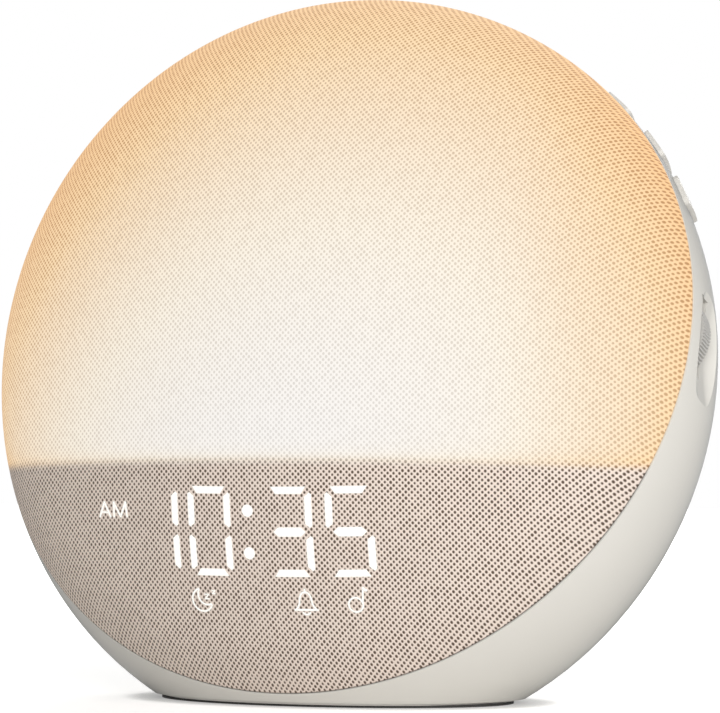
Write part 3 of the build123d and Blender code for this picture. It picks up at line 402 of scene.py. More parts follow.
# %% Rubber
def rubber(name, colour, dust):
    material, tree, shader = new_material(name, specular_ior_level=0.3)
    skin = place_group(tree, moulded_skin, colour=colour, grain_size=0.0007, drift=0.2, smooth=0.7, rough=0.9)
    film = place_group(tree, settled_dust, amount=dust).outputs["Dust"]
    base = blend_colour(tree, film, skin.outputs["Colour"], paint(150, 145, 138))
    put(tree, shader.inputs["Base Color"], base)
    put(tree, shader.inputs["Roughness"], skin.outputs["Roughness"])
    add_bump(tree, shader, skin.outputs["Height"], depth=0.00003)
    return material


finishes["foot_rubber"] = rubber("foot_rubber", paint(62, 61, 60), 0.35)
finishes["soft_rubber"] = rubber("surround_rubber", paint(36, 36, 38), 0.2)

# %% Metal
def worked_metal(name, colour, lines, roughness, metallic=1.0):
    """lines is how many worked lines there are to the metre in X, Y and Z."""
    material, tree, shader = new_material(name, metallic=metallic)
    stretched = add(tree, "Mapping", {"Vector": where(tree), "Scale": lines}).outputs[0]
    marks = noise(tree, 1.0, 4.0, stretched, Roughness=0.6)
    stains = noise(tree, 300.0, 2.0)
    worn = place_group(tree, handled_edges, reach=0.0003, break_up=0.2).outputs["Worn"]
    base = blend_colour(tree, between(tree, stains, 0.35, 0.7), colour, scaled(colour, 0.72))
    put(tree, shader.inputs["Base Color"], blend_colour(tree, worn, base, scaled(colour, 1.2)))
    put(tree, shader.inputs["Roughness"],
        between(tree, marks, 0.3, 0.7, roughness - 0.08, roughness + 0.12, "LINEAR"))
    add_bump(tree, shader, marks, depth=0.00001)
    return material


finishes["steel_screws"] = worked_metal("zinc_plated_steel", paint(196, 197, 200), (4000, 4000, 4000), 0.3)
finishes["steel_shaft"] = worked_metal("turned_steel", paint(205, 205, 206), (600, 9000, 600), 0.22)
finishes["cell_steel"] = worked_metal("brushed_cell_steel", paint(214, 214, 212), (400, 8000, 400), 0.25)
finishes["steel_basket"] = worked_metal("coated_basket", paint(44, 44, 46), (1500, 1500, 1500), 0.45, 0.3)
finishes["ferrite"] = worked_metal("ferrite_and_yoke", paint(70, 70, 74), (900, 900, 900), 0.5, 0.4)

# %% Paper cone
material, tree, shader = new_material("paper_pulp", specular_ior_level=0.2)
fibres = noise(tree, 1600.0, 5.0, Distortion=2.5)
clumps = noise(tree, 250.0, 3.0)
pulp = blend_colour(tree, fibres, paint(34, 34, 36), paint(66, 65, 64))
pulp = blend_colour(tree, between(tree, clumps, 0.4, 0.8), pulp, paint(52, 50, 50))
put(tree, shader.inputs["Base Color"], pulp)
put(tree, shader.inputs["Roughness"], between(tree, fibres, 0.2, 0.8, 0.75, 0.95))
add_bump(tree, shader, fibres, depth=0.00006)
finishes["paper_cone"] = material

# %% Acrylic, sleeves, LEDs and ribbon
def glossy(name, first, second, scale, roughness, **sockets):
    material, tree, shader = new_material(name, **sockets)
    drift = noise(tree, scale, 3.0)
    put(tree, shader.inputs["Base Color"], blend_colour(tree, between(tree, drift, 0.3, 0.7), first, second))
    put(tree, shader.inputs["Roughness"], between(tree, drift, 0.3, 0.7, roughness, roughness + 0.08))
    return material


finishes["clear_plastic"] = glossy("clear_acrylic", paint(250, 250, 248), paint(240, 243, 244), 180, 0.05,
                                   transmission_weight=0.85, ior=1.49)
finishes["capacitor_sleeve"] = glossy("capacitor_sleeve", paint(22, 24, 52), paint(32, 34, 66), 500, 0.25)
finishes["led_chips"] = glossy("led_package", paint(244, 232, 170), paint(250, 244, 214), 900, 0.3)
finishes["ribbon_film"] = glossy("ribbon_film", paint(196, 128, 40), paint(214, 150, 58), 600, 0.22)

# %% [markdown]
# ## Circuit boards
# A circuit board is a glass-fibre sheet under a thin glossy mask, through which the copper tracks show as
# slightly lighter, raised lines, with tinned pads here and there. A brick texture laid over the board gives
# straight tracks that turn at right angles, and small voronoi cells give the pads, so no board needs
# drawing by hand.

# %% Circuit board
def circuit_board(name, mask, track):
    material, tree, shader = new_material(name)
    tracks = add(tree, "TexBrick", {
        "Vector": where(tree), "Scale": 240.0, "Mortar Size": 0.05, "Mortar Smooth": 0.3, "Brick Width": 1.7,
        "Row Height": 0.42, "Color1": BLACK, "Color2": BLACK, "Mortar": WHITE}).outputs["Fac"]
    pads = add(tree, "TexVoronoi", {"Vector": where(tree), "Scale": 260.0, "Randomness": 0.85})
    pad = between(tree, pads.outputs["Distance"], 0.16, 0.12)
    fibre = noise(tree, 1500.0, 2.0)
    shade = blend_colour(tree, times(tree, fibre, 0.25), mask, scaled(mask, 0.6))
    shade = blend_colour(tree, times(tree, tracks, 0.8), shade, track)
    put(tree, shader.inputs["Base Color"], blend_colour(tree, pad, shade, paint(205, 206, 204)))
    put(tree, shader.inputs["Metallic"], times(tree, pad, 0.9))
    put(tree, shader.inputs["Roughness"], between(tree, fibre, 0.2, 0.8, 0.24, 0.38))
    add_bump(tree, shader, calc(tree, "MAXIMUM", tracks, pad), depth=0.00004)
    return material


finishes["green_board"] = circuit_board("green_board", paint(22, 92, 52), paint(46, 128, 74))
finishes["white_board"] = circuit_board("white_board", paint(236, 236, 232), paint(222, 222, 216))

# %% [markdown]
# ## The sunrise
# Behind the fabric an opal dome carries the lamp's light. It is a warm white near the middle and turns to
# apricot towards the rim, where the light crosses more plastic. It ends just over the display, where a
# baffle keeps it out of the clock, but it leaks a little under the cloth, so the line is soft, a touch
# warmer, and sinks towards the rim. Both the dome and the fabric show this light, so it is a node group
# that works from the place on the object: its distance from the glow's middle, from the seam and from the
# divide.

# %% Where the body lies
CENTRE = Vector((0, 1.3625, 86.2)) * MM
LEAN = radians(9.5)
FORWARD = Vector((0, -cos(LEAN), sin(LEAN)))
UPWARD = Vector((0, sin(LEAN), cos(LEAN)))
SEAM_LEAN = radians(21.0)
SEAM_NORMAL = Vector((0, -cos(SEAM_LEAN), sin(SEAM_LEAN)))
SEAM_OFFSET = 11.0 * MM

# %% Group: sunrise
GLOW_COLOURS = [(0.10, paint(246, 243, 240)), (0.25, paint(250, 241, 226)), (0.42, paint(251, 231, 204)),
                (0.62, paint(254, 223, 180)), (1.00, paint(255, 203, 140))]
GLOW_MIDDLE = (25.6 * MM, -293.7 * MM)  # far under the clock, so the light turns warm upwards
GLOW_REACH = (190.2 * MM, 410.0 * MM)
GLOW_FALL = 5.87
RIM_WARMTH, RIM_REACH = 0.62, 10.5 * MM     # at the seam, halfway across the body
RIM_WARMTH_SIDE = -2.7                  # what one metre to the right adds to the rim's warmth
RIM_REACH_SIDE = 8.0                    # the rim's reach grows to the right as a power of e
RIGHT_WARMTH = 0.07                     # what the right-hand side adds
RIGHT_SIDE = (56 * MM, 84 * MM)
DIVIDE_TOP = (6.0 * MM, -23.35 * MM)    # where the divide is highest: across, and up from the body's centre
DIVIDE_BEND = 0.23                      # metres that it sinks at one metre from there, as a parabola
DIVIDE_SOFT = 1.75 * MM
LEAK_WARMTH = 0.15
FOLD_SHADE = (0.05 * MM, 0.55 * MM)     # from the seam, where the cloth turns into the gap

sunrise, given, result = new_group(
    "sunrise", {}, {"Glow": "colour", "Warmth": "value", "Lit": "value", "Edge": "value"})
tree = sunrise
place = add(tree, "VectorMath", {0: where(tree), 1: CENTRE}, operation="SUBTRACT").outputs[0]


def along(direction):
    return add(tree, "VectorMath", {0: place, 1: direction}, operation="DOT_PRODUCT").outputs["Value"]


to_right = along(Vector((1, 0, 0)))
from_seam = calc(tree, "MAXIMUM", minus(tree, along(SEAM_NORMAL), SEAM_OFFSET), 0.0)
glow_across = calc(tree, "DIVIDE", minus(tree, to_right, GLOW_MIDDLE[0]), GLOW_REACH[0])
glow_up = calc(tree, "DIVIDE", minus(tree, along(UPWARD), GLOW_MIDDLE[1]), GLOW_REACH[1])
far = plus(tree, calc(tree, "POWER", glow_across, 2.0), calc(tree, "POWER", glow_up, 2.0))
far = calc(tree, "SQRT", far)
rim_reach = times(tree, calc(tree, "EXPONENT", times(tree, to_right, RIM_REACH_SIDE)), RIM_REACH)
rim_warmth = calc(tree, "MULTIPLY_ADD", to_right, RIM_WARMTH_SIDE, RIM_WARMTH)
near_rim = calc(tree, "EXPONENT", times(tree, calc(tree, "DIVIDE", from_seam, rim_reach), -1.0))
aside = minus(tree, to_right, DIVIDE_TOP[0])
divide = calc(tree, "MULTIPLY_ADD", times(tree, aside, aside), -DIVIDE_BEND, DIVIDE_TOP[1])
above = minus(tree, along(Vector((0, 0, 1))), divide)
leak = calc(tree, "EXPONENT", calc(tree, "DIVIDE", calc(tree, "ABSOLUTE", above), -DIVIDE_SOFT))
warmth = calc(tree, "MULTIPLY_ADD", near_rim, rim_warmth, calc(tree, "POWER", far, GLOW_FALL))
warmth = calc(tree, "MULTIPLY_ADD", leak, LEAK_WARMTH, warmth)
warmth = calc(tree, "MULTIPLY_ADD", between(tree, to_right, *RIGHT_SIDE), RIGHT_WARMTH, warmth)
put(tree, result.inputs["Lit"], between(tree, above, -DIVIDE_SOFT, DIVIDE_SOFT))
# Where the cloth turns into the seam's gap, for the painted shade there: 0 at the seam, 1 past the fold.
put(tree, result.inputs["Edge"], between(tree, from_seam, *FOLD_SHADE))
put(tree, result.inputs["Warmth"], warmth)
put(tree, result.inputs["Glow"], ramp(tree, warmth, GLOW_COLOURS))

# %% Opal dome
DOME_GLOW = 0.45
material, tree, shader = new_material("opal_dome", emission_strength=1.0)
light = place_group(tree, sunrise)
milky = noise(tree, 60.0, 3.0)
tint = blend_colour(tree, milky, paint(238, 235, 228), paint(246, 244, 240))
put(tree, shader.inputs["Base Color"], tint)
put(tree, shader.inputs["Roughness"], between(tree, milky, 0.3, 0.7, 0.3, 0.42))
glow = blend_colour(tree, times(tree, light.outputs["Lit"], DOME_GLOW), BLACK, light.outputs["Glow"])
put(tree, shader.inputs["Emission Color"], glow)
finishes["opal_plastic"] = material

# %% [markdown]
# ## The cloth
# The cover is a knitted mesh with a regular pattern of small open holes, set like the spots on a five of
# dice. It is stretched over the dome and folded round a frame at the seam. Its pattern must follow the
# cloth and not the room, so the mesh gets a UV map that is the flat cloth itself, counted in holes. A node
# group then works out, for each point, how far it is from the nearest hole. It gives the hole, the height
# of the yarn round it and a slight difference from yarn to yarn, and both the cover and the lit digits use
# it.

# %% Group: knitted mesh
HOLE_SQUEEZE = 0.86                     # a hole's width as a share of its height
HOLE_WOBBLE = 0.06                      # how far its outline strays, in holes
SMALLEST_HOLE, HOLE_SPREAD = 0.85, 0.3  # the smallest hole's share of the size, and what the largest has more
YARN_HEIGHT = 0.8                       # of the height that is the round yarn. The rest is its fibres
YARN_TONE, YARN_SPREAD, FIBRE_SPREAD = 0.35, 0.3, 0.5     # the darkest yarn, what others and fibres add

knitted_mesh, given, result = new_group(
    "knitted_mesh", {"Cloth": ("vector", None), "Hole size": ("value", 0.205), "Softness": ("value", 0.08)},
    {"Hole": "value", "Height": "value", "Yarn": "value"})
tree = knitted_mesh
cloth = given.outputs["Cloth"]
flat = add(tree, "SeparateXYZ", {0: cloth})
across, down = flat.outputs[0], flat.outputs[1]
first, second = plus(tree, across, down), minus(tree, across, down)
first_hole, second_hole = calc(tree, "ROUND", first), calc(tree, "ROUND", second)
first_off, second_off = minus(tree, first, first_hole), minus(tree, second, second_hole)
off_across = times(tree, plus(tree, first_off, second_off), 0.5)
off_down = times(tree, times(tree, minus(tree, first_off, second_off), 0.5), HOLE_SQUEEZE)
which_hole = add(tree, "CombineXYZ", {0: first_hole, 1: second_hole}).outputs[0]
chance = add(tree, "TexWhiteNoise", {"Vector": which_hole}, noise_dimensions="2D").outputs["Value"]
distance = plus(tree, calc(tree, "POWER", off_across, 2.0), calc(tree, "POWER", off_down, 2.0))
distance = calc(tree, "SQRT", distance)
wobble = times(tree, minus(tree, noise(tree, 2.3, 2.0, cloth), 0.5), HOLE_WOBBLE)
distance = plus(tree, distance, wobble)
this_size = times(tree, given.outputs["Hole size"],
                  calc(tree, "MULTIPLY_ADD", chance, HOLE_SPREAD, SMALLEST_HOLE))
inner = minus(tree, this_size, given.outputs["Softness"])
outer = plus(tree, this_size, given.outputs["Softness"])
put(tree, result.inputs["Hole"], between(tree, distance, inner, outer, 1.0, 0.0))
fibres = noise(tree, 9.0, 4.0, cloth, Roughness=0.65)
rise = between(tree, distance, 0.1, 0.42)
put(tree, result.inputs["Height"],
    calc(tree, "MULTIPLY_ADD", rise, YARN_HEIGHT, times(tree, fibres, 1 - YARN_HEIGHT)))
strand = calc(tree, "MULTIPLY_ADD", chance, YARN_SPREAD, YARN_TONE)
put(tree, result.inputs["Yarn"], calc(tree, "MULTIPLY_ADD", minus(tree, fibres, 0.5), FIBRE_SPREAD, strand))

# %% Material: speaker fabric
DIM_YARN = paint(244, 228, 216)
# The holes show the dim space behind the cloth, so their dark colour is painted shade.
DIM_HOLE = paint(94, 78, 66)
DARKEST_YARN = 0.88                     # as a share of the yarn's colour
# Painted shade in the seam's gap: the cloth's dark colour there, and the share of its glow that is left.
FOLD_PAINTED_SHADE = paint(58, 52, 46)
FOLD_GLOW = 0.7                         # of the glow that is left at the very seam
LIT_SHARE = 0.8                         # of the lit colour comes from behind. The rest is daylight on it
HOLE_TINTS = [(0.1, paint(223, 222, 221)), (0.75, paint(180, 150, 118))]   # where the light is cool, and warm
YARN_DEPTH = 0.00016

fabric, tree, shader = new_material(
    "knitted_fabric", emission_strength=1.05, roughness=0.9, specular_ior_level=0.15, sheen_weight=0.25,
    sheen_roughness=0.5, sheen_tint=paint(246, 238, 228))
mesh_pattern = place_group(tree, knitted_mesh, cloth=add(tree, "UVMap", uv_map="flat_cloth").outputs[0])
hole, yarn = mesh_pattern.outputs["Hole"], mesh_pattern.outputs["Yarn"]
light = place_group(tree, sunrise)
glow, lit, edge = light.outputs["Glow"], light.outputs["Lit"], light.outputs["Edge"]
yarn_tone = blend_colour(tree, yarn, scaled(DIM_YARN, DARKEST_YARN), DIM_YARN)
# The cloth turns dark into the seam's gap: painted shade.
dim_cloth = blend_colour(tree, edge, FOLD_PAINTED_SHADE, blend_colour(tree, hole, yarn_tone, DIM_HOLE))
# In the lit part, the cloth's own colour gives way to a dimmed copy of the glow: painted light, which
# daylight then lights.
lit_cloth = filter_colour(tree, glow, scaled(WHITE, 1 - LIT_SHARE))
put(tree, shader.inputs["Base Color"], blend_colour(tree, lit, dim_cloth, lit_cloth))
hole_tint = ramp(tree, light.outputs["Warmth"], HOLE_TINTS)
through = filter_colour(tree, glow, blend_colour(tree, hole, WHITE, hole_tint))
# Its glow fades into the seam's gap too: painted shade on the light.
share = times(tree, times(tree, lit, LIT_SHARE), between(tree, edge, 0, 1, FOLD_GLOW, 1.0))
put(tree, shader.inputs["Emission Color"], blend_colour(tree, share, BLACK, through))
add_bump(tree, shader, mesh_pattern.outputs["Height"], YARN_DEPTH)
finishes["speaker_fabric"] = fabric

# %% [markdown]
# ## The stretched cover
# The cover is one piece of cloth, so it is made as one closed thin skin: out over the dome, round a small
# fold at the seam, in along the seam where the shell pinches it, and back under the outer face. The seam
# lies on a slanted plane, so the cloth reaches further over the top than at the bottom. Rings of points are
# laid from the pole outwards, and the place where each spoke meets the seam is found by halving an
# interval, the surest way when a formula for it would be long.

# %% The body's profile
CROWN_RADIUS, CROWN_BACK = 171.115, 114.115
FRONT_SHOULDER, REAR_SHOULDER = 44.0, 42.0
SHOULDER_START = radians(26.13)
CROWN_PATH = CROWN_RADIUS * SHOULDER_START
LENS_RADIUS = 100.0
SEAM_SLOPES = (0.2, 2.4)                # the seam crosses every spoke between these slopes, in radians
HALVINGS = 44


def body_point(slope, spoke, inset):
    """Points on the lens-shaped body. slope is the angle of its surface from the front pole, spoke the angle
    round the body's axis, and inset the depth under the surface, in millimetres."""
    slope, spoke, inset = np.broadcast_arrays(slope, spoke, inset)
    crown = slope < SHOULDER_START
    front = slope < pi / 2
    radius = np.where(crown, (CROWN_RADIUS - inset) * np.sin(slope),
                      np.where(front, LENS_RADIUS - FRONT_SHOULDER + (FRONT_SHOULDER - inset) * np.sin(slope),
                               LENS_RADIUS - REAR_SHOULDER + (REAR_SHOULDER - inset) * np.sin(slope)))
    height = np.where(crown, (CROWN_RADIUS - inset) * np.cos(slope) - CROWN_BACK,
                      np.where(front, (FRONT_SHOULDER - inset) * np.cos(slope),
                               (REAR_SHOULDER - inset) * np.cos(slope)))
    across = radius * np.cos(spoke)
    up = radius * np.sin(spoke)
    places = (across[..., None] * np.array((1.0, 0, 0)) + up[..., None] * np.array(UPWARD)
              + height[..., None] * np.array(FORWARD))
    return places * MM + np.array(CENTRE)


def slope_at_seam(spoke, inset, before):
    """The slope at which a spoke comes within so many millimetres of the seam's plane."""
    low, high = (np.full_like(spoke, slope) for slope in SEAM_SLOPES)
    for _ in range(HALVINGS):
        middle = (low + high) / 2
        from_centre = body_point(middle, spoke, inset) - np.array(CENTRE)
        left = from_centre @ np.array(SEAM_NORMAL) - SEAM_OFFSET - before * MM
        low = np.where(left > 0, middle, low)
        high = np.where(left > 0, high, middle)
    return (low + high) / 2


# %% Flat cloth coordinates
HOLES_ACROSS, HOLES_DOWN = 0.664, 0.6634    # to the millimetre of cloth
CLOTH_LEAN = radians(10.2)              # the cloth's own pole, where it was laid on first
STRETCH = 0.09                          # how much of the curve's own length the cloth follows


def flat_cloth(places):
    """The flat cloth's coordinates, counted in holes. Cloth that is stretched over a crown keeps most of its
    flat spacing near the middle and follows the curve a little more towards the rim."""
    from_centre = (places - np.array(CENTRE)) / MM
    across = from_centre[:, 0]
    down = from_centre @ np.array((0, sin(CLOTH_LEAN), cos(CLOTH_LEAN)))
    out = from_centre @ np.array((0, -cos(CLOTH_LEAN), sin(CLOTH_LEAN)))
    radius = np.hypot(across, down)
    turn = np.arctan2(radius, out)
    reach = np.where(radius > 1e-6, turn * np.hypot(radius, out) / np.maximum(radius, 1e-6), 1.0)
    spread = (1 - STRETCH) + STRETCH * reach
    return np.stack([HOLES_ACROSS * across * spread, HOLES_DOWN * down * spread], axis=1)


# %% Cover mesh
SPOKES = 256
RINGS, INNER_RINGS = 96, 20
FABRIC_THICK = 0.8
FOLD_RADIUS, FOLD_STEPS = 0.2, 4
HEM_MIDDLE, HEM_REACH, HEM_THICK = 1.4, 2.3, 0.7
HEM_GAP = 0.1                           # the hem lies this far behind the cover's inner face
spokes = np.arange(SPOKES) * 2 * pi / SPOKES

stations = []
outer_slope = slope_at_seam(spokes, 0.0, FOLD_RADIUS)
outer_path = np.where(outer_slope < SHOULDER_START, CROWN_RADIUS * outer_slope,
                      CROWN_PATH + FRONT_SHOULDER * (outer_slope - SHOULDER_START))
for ring in range(1, RINGS + 1):
    path = outer_path * ring / RINGS
    slope = np.where(path < CROWN_PATH, path / CROWN_RADIUS,
                     SHOULDER_START + (path - CROWN_PATH) / FRONT_SHOULDER)
    stations.append(body_point(slope, spokes, 0.0))
for step in range(1, FOLD_STEPS + 1):
    turn = step / FOLD_STEPS * pi / 2
    inset = FOLD_RADIUS * (1 - cos(turn))
    stations.append(body_point(slope_at_seam(spokes, inset, FOLD_RADIUS * (1 - sin(turn))), spokes, inset))
for inset, before in ((HEM_MIDDLE, 0.0), (HEM_REACH, 0.0), (HEM_REACH, HEM_THICK),
                      (FABRIC_THICK + HEM_GAP, HEM_THICK)):
    stations.append(body_point(slope_at_seam(spokes, inset, before), spokes, inset))
inner_slope = slope_at_seam(spokes, FABRIC_THICK, HEM_THICK + HEM_GAP)
for ring in range(INNER_RINGS, 0, -1):
    stations.append(body_point(inner_slope * ring / INNER_RINGS, spokes, FABRIC_THICK))
outer_pole = body_point(0.0, 0.0, 0.0).reshape(1, 3)
inner_pole = body_point(0.0, 0.0, FABRIC_THICK).reshape(1, 3)
places = np.concatenate([outer_pole] + stations + [inner_pole])


def ring_corner(station, spoke):
    return 1 + station * SPOKES + spoke % SPOKES


faces = [(0, ring_corner(0, s), ring_corner(0, s + 1)) for s in range(SPOKES)]
for station in range(len(stations) - 1):
    faces += [(ring_corner(station, s), ring_corner(station + 1, s), ring_corner(station + 1, s + 1),
               ring_corner(station, s + 1)) for s in range(SPOKES)]
last = len(stations) - 1
faces += [(len(places) - 1, ring_corner(last, s + 1), ring_corner(last, s)) for s in range(SPOKES)]


# %% Add a mesh as a piece
def add_piece(name, mesh, finish):
    """A smooth mesh at the origin that rides on the clock, with the flat cloth as its UV map."""
    mesh.polygons.foreach_set("use_smooth", [True] * len(mesh.polygons))
    layer = mesh.uv_layers.new(name="flat_cloth")
    corners = np.zeros(len(mesh.loops), dtype=np.int32)
    mesh.loops.foreach_get("vertex_index", corners)
    points = np.zeros(len(mesh.vertices) * 3)
    mesh.vertices.foreach_get("co", points)
    layer.data.foreach_set("uv", flat_cloth(points.reshape(-1, 3))[corners].ravel())
    mesh.materials.append(finish)
    piece = bpy.data.objects.new(name, mesh)
    bpy.context.scene.collection.objects.link(piece)
    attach(piece, "clock")
    return piece


cover_mesh = bpy.data.meshes.new("stretched_cover")
cover_mesh.from_pydata(places.tolist(), [], faces)
cover_mesh.validate()
work = bmesh.new()
work.from_mesh(cover_mesh)
bmesh.ops.recalc_face_normals(work, faces=work.faces)
work.to_mesh(cover_mesh)
work.free()
cover = add_piece("stretched_cover", cover_mesh, fabric)
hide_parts("fabric_cover")

# %% [markdown]
# ## Digits and symbols
# The digits are light that the display's light pipes throw onto the back of the cloth. On the real clock
# they look printed on it: each bar is solid and nearly white, with slightly soft ends, and the weave only
# just shows. Each bar is therefore its own small skin, a hair above the cloth and curved with it, outlined
# with points on the display's flat plane and pushed out to the crown. Its edge fades out over a third of a
# millimetre.

# %% The display's plane
DISPLAY_DROP = 41.4                     # the digits' middle below the body's centre, in millimetres
CROWN_MIDDLE = np.array(CENTRE) - CROWN_BACK * MM * np.array(FORWARD)
PROUD = 0.05 * MM


def crown_point(across, up, display):
    """A point of the display's plane, in millimetres, moved along the plane's normal onto the cloth."""
    origin, right, rise, outward = display
    start = origin + (across * MM) * right + (up * MM) * rise - CROWN_MIDDLE
    behind = start @ outward
    out = -behind + sqrt(behind ** 2 - start @ start + (CROWN_RADIUS * MM + PROUD) ** 2)
    return CROWN_MIDDLE + start + out * outward


def display_plane():
    """The plane that touches the crown at the digits' middle: its origin, and the ways right, up and out."""
    low, high = -0.9 * LENS_RADIUS, 0.0
    for _ in range(HALVINGS):
        up = (low + high) / 2
        height = sqrt(CROWN_RADIUS ** 2 - up ** 2) - CROWN_BACK
        point = np.array(CENTRE) + MM * (up * np.array(UPWARD) + height * np.array(FORWARD))
        low, high = (up, high) if point[2] < CENTRE.z - DISPLAY_DROP * MM else (low, up)
    outward = (point - CROWN_MIDDLE) / np.linalg.norm(point - CROWN_MIDDLE)
    right = np.array((1.0, 0, 0))
    return point, right, np.cross(outward, right), outward


display = display_plane()
print("display middle at", [round(x / MM, 2) for x in display[0]], "mm")


# %% Material: light through the cloth
HOLES_SHOW = 0.3                        # how much of the weave still shows through a digit
DIGIT_GLOW, DIGIT_PAINTED_LIGHT = 0.82, 0.3         # the share of white that glows, and that daylight lights

pipe_light, tree, shader = new_material("display_light", emission_strength=1.0, roughness=0.9,
                                     specular_ior_level=0.1)
mesh_pattern = place_group(tree, knitted_mesh, cloth=add(tree, "UVMap", uv_map="flat_cloth").outputs[0])
strength = add(tree, "Attribute", attribute_name="strength").outputs["Fac"]
shown = times(tree, mesh_pattern.outputs["Hole"], HOLES_SHOW)
white = blend_colour(tree, shown, paint(255, 254, 249), paint(247, 241, 230))
# The light pipes' light is painted into the skin's colour, as well as glowing from it.
put(tree, shader.inputs["Base Color"], filter_colour(tree, white, scaled(WHITE, DIGIT_PAINTED_LIGHT)))
put(tree, shader.inputs["Emission Color"], filter_colour(tree, white, scaled(WHITE, DIGIT_GLOW)))
put(tree, shader.inputs["Alpha"], between(tree, strength, 0.0, 1.0))


# %% Bars, dots and strokes with soft edges
SOFT_EDGE = 0.34
LONGEST_STEP = 1.2
SHARPEST = 0.5                          # the least that a sharp corner's reach is divided by
TIP, TIP_SHOULDER = 0.35, 0.07          # a stroke's rounded end, in widths: its tip and its two corners


def grown(outline, reach):
    """A convex outline moved outwards by reach, or inwards where reach is negative."""
    count = len(outline)
    moved = []
    for i in range(count):
        before, here, after = (np.array(outline[(i + k) % count], dtype=float) for k in (-1, 0, 1))
        first, second = here - before, after - here
        first /= np.linalg.norm(first)
        second /= np.linalg.norm(second)
        normal = np.array((first[1] + second[1], -first[0] - second[0]))
        normal /= np.linalg.norm(normal)
        moved.append(here + normal * reach / max(SHARPEST, normal @ np.array((second[1], -second[0]))))
    return moved


def divided(outline):
    """The outline with extra points, so that a long bar can bend over the crown."""
    points = []
    for i, here in enumerate(outline):
        after = outline[(i + 1) % len(outline)]
        steps = max(1, int(np.ceil(np.linalg.norm(np.array(after) - here) / LONGEST_STEP)))
        points += [np.array(here) + (np.array(after) - here) * k / steps for k in range(steps)]
    return points


def lit_shape(outlines, name):
    """One piece from convex outlines, each with a full-strength inside and an edge that fades out."""
    work = bmesh.new()
    strength = work.verts.layers.float.new("strength")
    for outline in outlines:
        inside = divided(grown(outline, -SOFT_EDGE / 2))
        rims = []
        for reach, value in ((0.0, 1.0), (SOFT_EDGE, 0.0)):
            loop = inside if reach == 0 else grown(inside, reach)
            verts = [work.verts.new(crown_point(*p, display)) for p in loop]
            for vert in verts:
                vert[strength] = value
            rims.append(verts)
        middle = work.verts.new(crown_point(*np.mean(inside, axis=0), display))
        middle[strength] = 1.0
        count = len(inside)
        for i in range(count):
            j = (i + 1) % count
            work.faces.new((middle, rims[0][i], rims[0][j]))
            work.faces.new((rims[0][i], rims[1][i], rims[1][j], rims[0][j]))
    mesh = bpy.data.meshes.new(name)
    work.to_mesh(mesh)
    work.free()
    add_piece(name, mesh, pipe_light)


def stroke(points, width):
    """A thin line through the points as convex outlines, one for each run, with round joints."""
    outlines = []
    for start, end in zip(points, points[1:]):
        start, end = np.array(start, dtype=float), np.array(end, dtype=float)
        way = (end - start) / np.linalg.norm(end - start)
        side = np.array((way[1], -way[0])) * width / 2
        tip, shoulder = way * width * TIP, way * width * TIP_SHOULDER
        outlines.append([start - side - shoulder, start - tip, start + side - shoulder,
                         end + side + shoulder, end + tip, end - side + shoulder])
    return outlines


# %% Seven-segment digits
DIGIT_MIDDLES = (-28.4, -12.8, 9.75, 25.75)
HALF_WIDTH, HALF_HEIGHT = 5.3, 10.5
BAR_OUTER, BAR_INNER, BAR_HALF = 4.8, 3.5, 0.93
MIDDLE_TIP, MIDDLE_FLAT, MIDDLE_HALF = 4.4, 3.1, 1.2
UPRIGHT_HALF, UPRIGHT_TIP = 0.98, 0.35
UPRIGHT_LOW, UPRIGHT_HIGH = 1.0, 9.95
INNER_LOW, OUTER_LOW, OUTER_HIGH, INNER_HIGH = 1.0, 0.55, 0.5, 1.1      # what its corners are cut back by
COLON_DOTS = ((-1.65, 5.35), (-1.75, -5.45))
COLON_RADIUS, COLON_SIDES = 1.58, 24


def bar(digit, end):
    """The top (end 1) or bottom (end -1) bar, longer on its outer edge."""
    outer, inner = end * (HALF_HEIGHT + BAR_HALF), end * (HALF_HEIGHT - BAR_HALF)
    points = [(digit - BAR_OUTER, outer), (digit - BAR_INNER, inner), (digit + BAR_INNER, inner),
              (digit + BAR_OUTER, outer)]
    return points if end > 0 else points[::-1]


def middle_bar(digit):
    return [(digit - MIDDLE_TIP, 0), (digit - MIDDLE_FLAT, -MIDDLE_HALF), (digit + MIDDLE_FLAT, -MIDDLE_HALF),
            (digit + MIDDLE_TIP, 0), (digit + MIDDLE_FLAT, MIDDLE_HALF), (digit - MIDDLE_FLAT, MIDDLE_HALF)]


def upright(digit, side, end):
    """An upright on the left (side -1) or right (side 1), over (end 1) or under (end -1) the middle."""
    x = digit + side * HALF_WIDTH
    outline = [(-UPRIGHT_HALF, UPRIGHT_LOW + INNER_LOW), (UPRIGHT_TIP, UPRIGHT_LOW),
               (UPRIGHT_HALF, UPRIGHT_LOW + OUTER_LOW), (UPRIGHT_HALF, UPRIGHT_HIGH - OUTER_HIGH),
               (UPRIGHT_TIP, UPRIGHT_HIGH), (-UPRIGHT_HALF, UPRIGHT_HIGH - INNER_HIGH)]
    points = [(x + side * across, end * up) for across, up in outline]
    return points if side * end > 0 else points[::-1]


def arc(across, up, radius, start, end, steps=20):
    """Points on an arc, the angles in degrees from the right, turning to the left."""
    turns = [radians(start + (end - start) * k / steps) for k in range(steps + 1)]
    return [(across + radius * cos(turn), up + radius * sin(turn)) for turn in turns]


SEGMENTS = {"a": lambda d: bar(d, 1), "d": lambda d: bar(d, -1), "g": middle_bar,
            "b": lambda d: upright(d, 1, 1), "c": lambda d: upright(d, 1, -1),
            "f": lambda d: upright(d, -1, 1), "e": lambda d: upright(d, -1, -1)}
LIT_SEGMENTS = {"1": "bc", "0": "abcdef", "3": "abcdg", "5": "acdfg"}
for order, (middle, digit) in enumerate(zip(DIGIT_MIDDLES, "1035")):
    lit_shape([SEGMENTS[s](middle) for s in LIT_SEGMENTS[digit]], f"digit_{order + 1}_light")


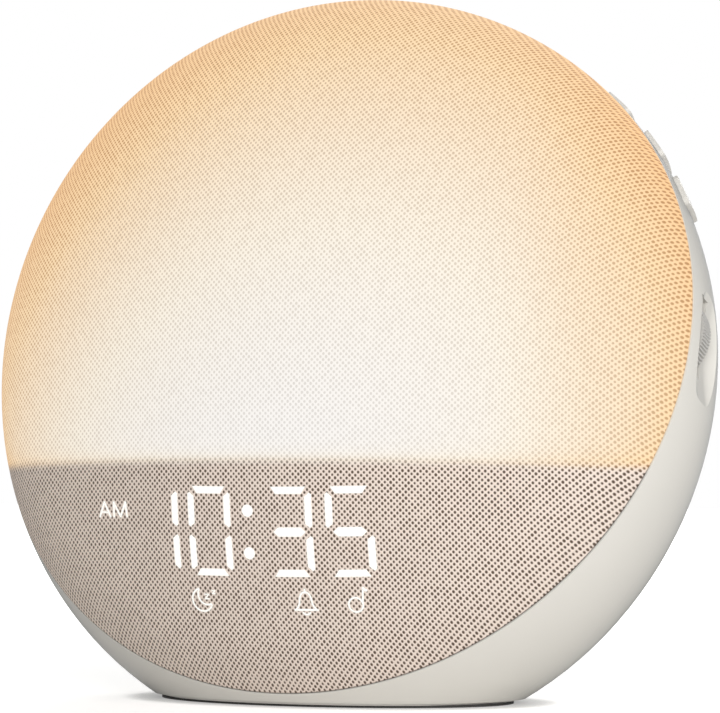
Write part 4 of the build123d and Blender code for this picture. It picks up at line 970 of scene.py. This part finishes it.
lit_shape([arc(*dot, COLON_RADIUS, 0, 360, COLON_SIDES)[:-1] for dot in COLON_DOTS], "colon_light")
print("display reads 10:35")

# %% Symbols
THIN = 0.5
BELL_MIDDLE = 12.6
bell_side = [(0, -15.3), (0.75, -15.5), (1.3, -16.1), (1.55, -17.0), (1.75, -18.3), (2.2, -19.2),
             (2.7, -19.8)]
SYMBOLS = {                             # the lines of each, with their width as a share of a thin stroke
    "moon_light": [
        (arc(-16.7, -17.8, 3.0, 106, 333), 1.0),
        (arc(-15.35, -16.5, 2.55, 152, 294), 1.0),
        ([(-17.55, -14.95), (-17.6, -15.3)], 1.0),
        ([(-14.3, -18.8), (-14.05, -19.1)], 1.0),
        ([(-16.0, -16.35), (-14.7, -16.35), (-15.9, -17.5), (-14.6, -17.5)], 0.7),
        ([(-13.65, -15.35), (-12.75, -15.35), (-13.6, -16.1), (-12.7, -16.1)], 0.7)],
    "bell_light": [
        ([(BELL_MIDDLE + x, y) for x, y in bell_side], 1.0),
        ([(BELL_MIDDLE - x, y) for x, y in bell_side], 1.0),
        ([(9.45, -19.9), (15.75, -19.9)], 1.1),
        ([(BELL_MIDDLE, -14.5), (BELL_MIDDLE, -15.2)], 1.1),
        (arc(BELL_MIDDLE, -19.9, 1.2, 215, 325, 8), 1.0)],
    "note_light": [
        (arc(25.75, -18.6, 1.85, 0, 360, 28), 1.0),
        ([(27.55, -18.4), (27.95, -14.2)], 1.0),
        ([(27.95, -14.2), (28.35, -14.75), (28.85, -14.95)], 1.4)],
    "am_light": [
        ([(-47.85, 2.4), (-46.1, 6.4), (-44.1, 2.6)], 1.3),
        ([(-47.1, 3.75), (-45.1, 3.75)], 1.0),
        ([(-42.95, 2.7), (-42.9, 6.5), (-40.7, 2.8), (-38.95, 6.7), (-38.55, 2.9)], 1.3)],
}
for name, lines in SYMBOLS.items():
    lit_shape([run for points, share in lines for run in stroke(points, THIN * share)], name)

# %% [markdown]
# ## Finishing the CAD pieces
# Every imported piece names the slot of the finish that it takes. Each one gets its material here in one
# loop, so none is left in the plain colour that it was packed with. Their shapes stay exactly as the CAD
# made them.

# %% Give every CAD piece its finish
slot_of = {part["node"]: part["material_slot"] for part in frame["record"]["subparts"]}
for node, obj in frame["nodes"].items():
    for place in obj.material_slots:
        place.material = finishes[slot_of[node]]
print(len(frame["nodes"]), "pieces finished with", len(finishes), "materials")
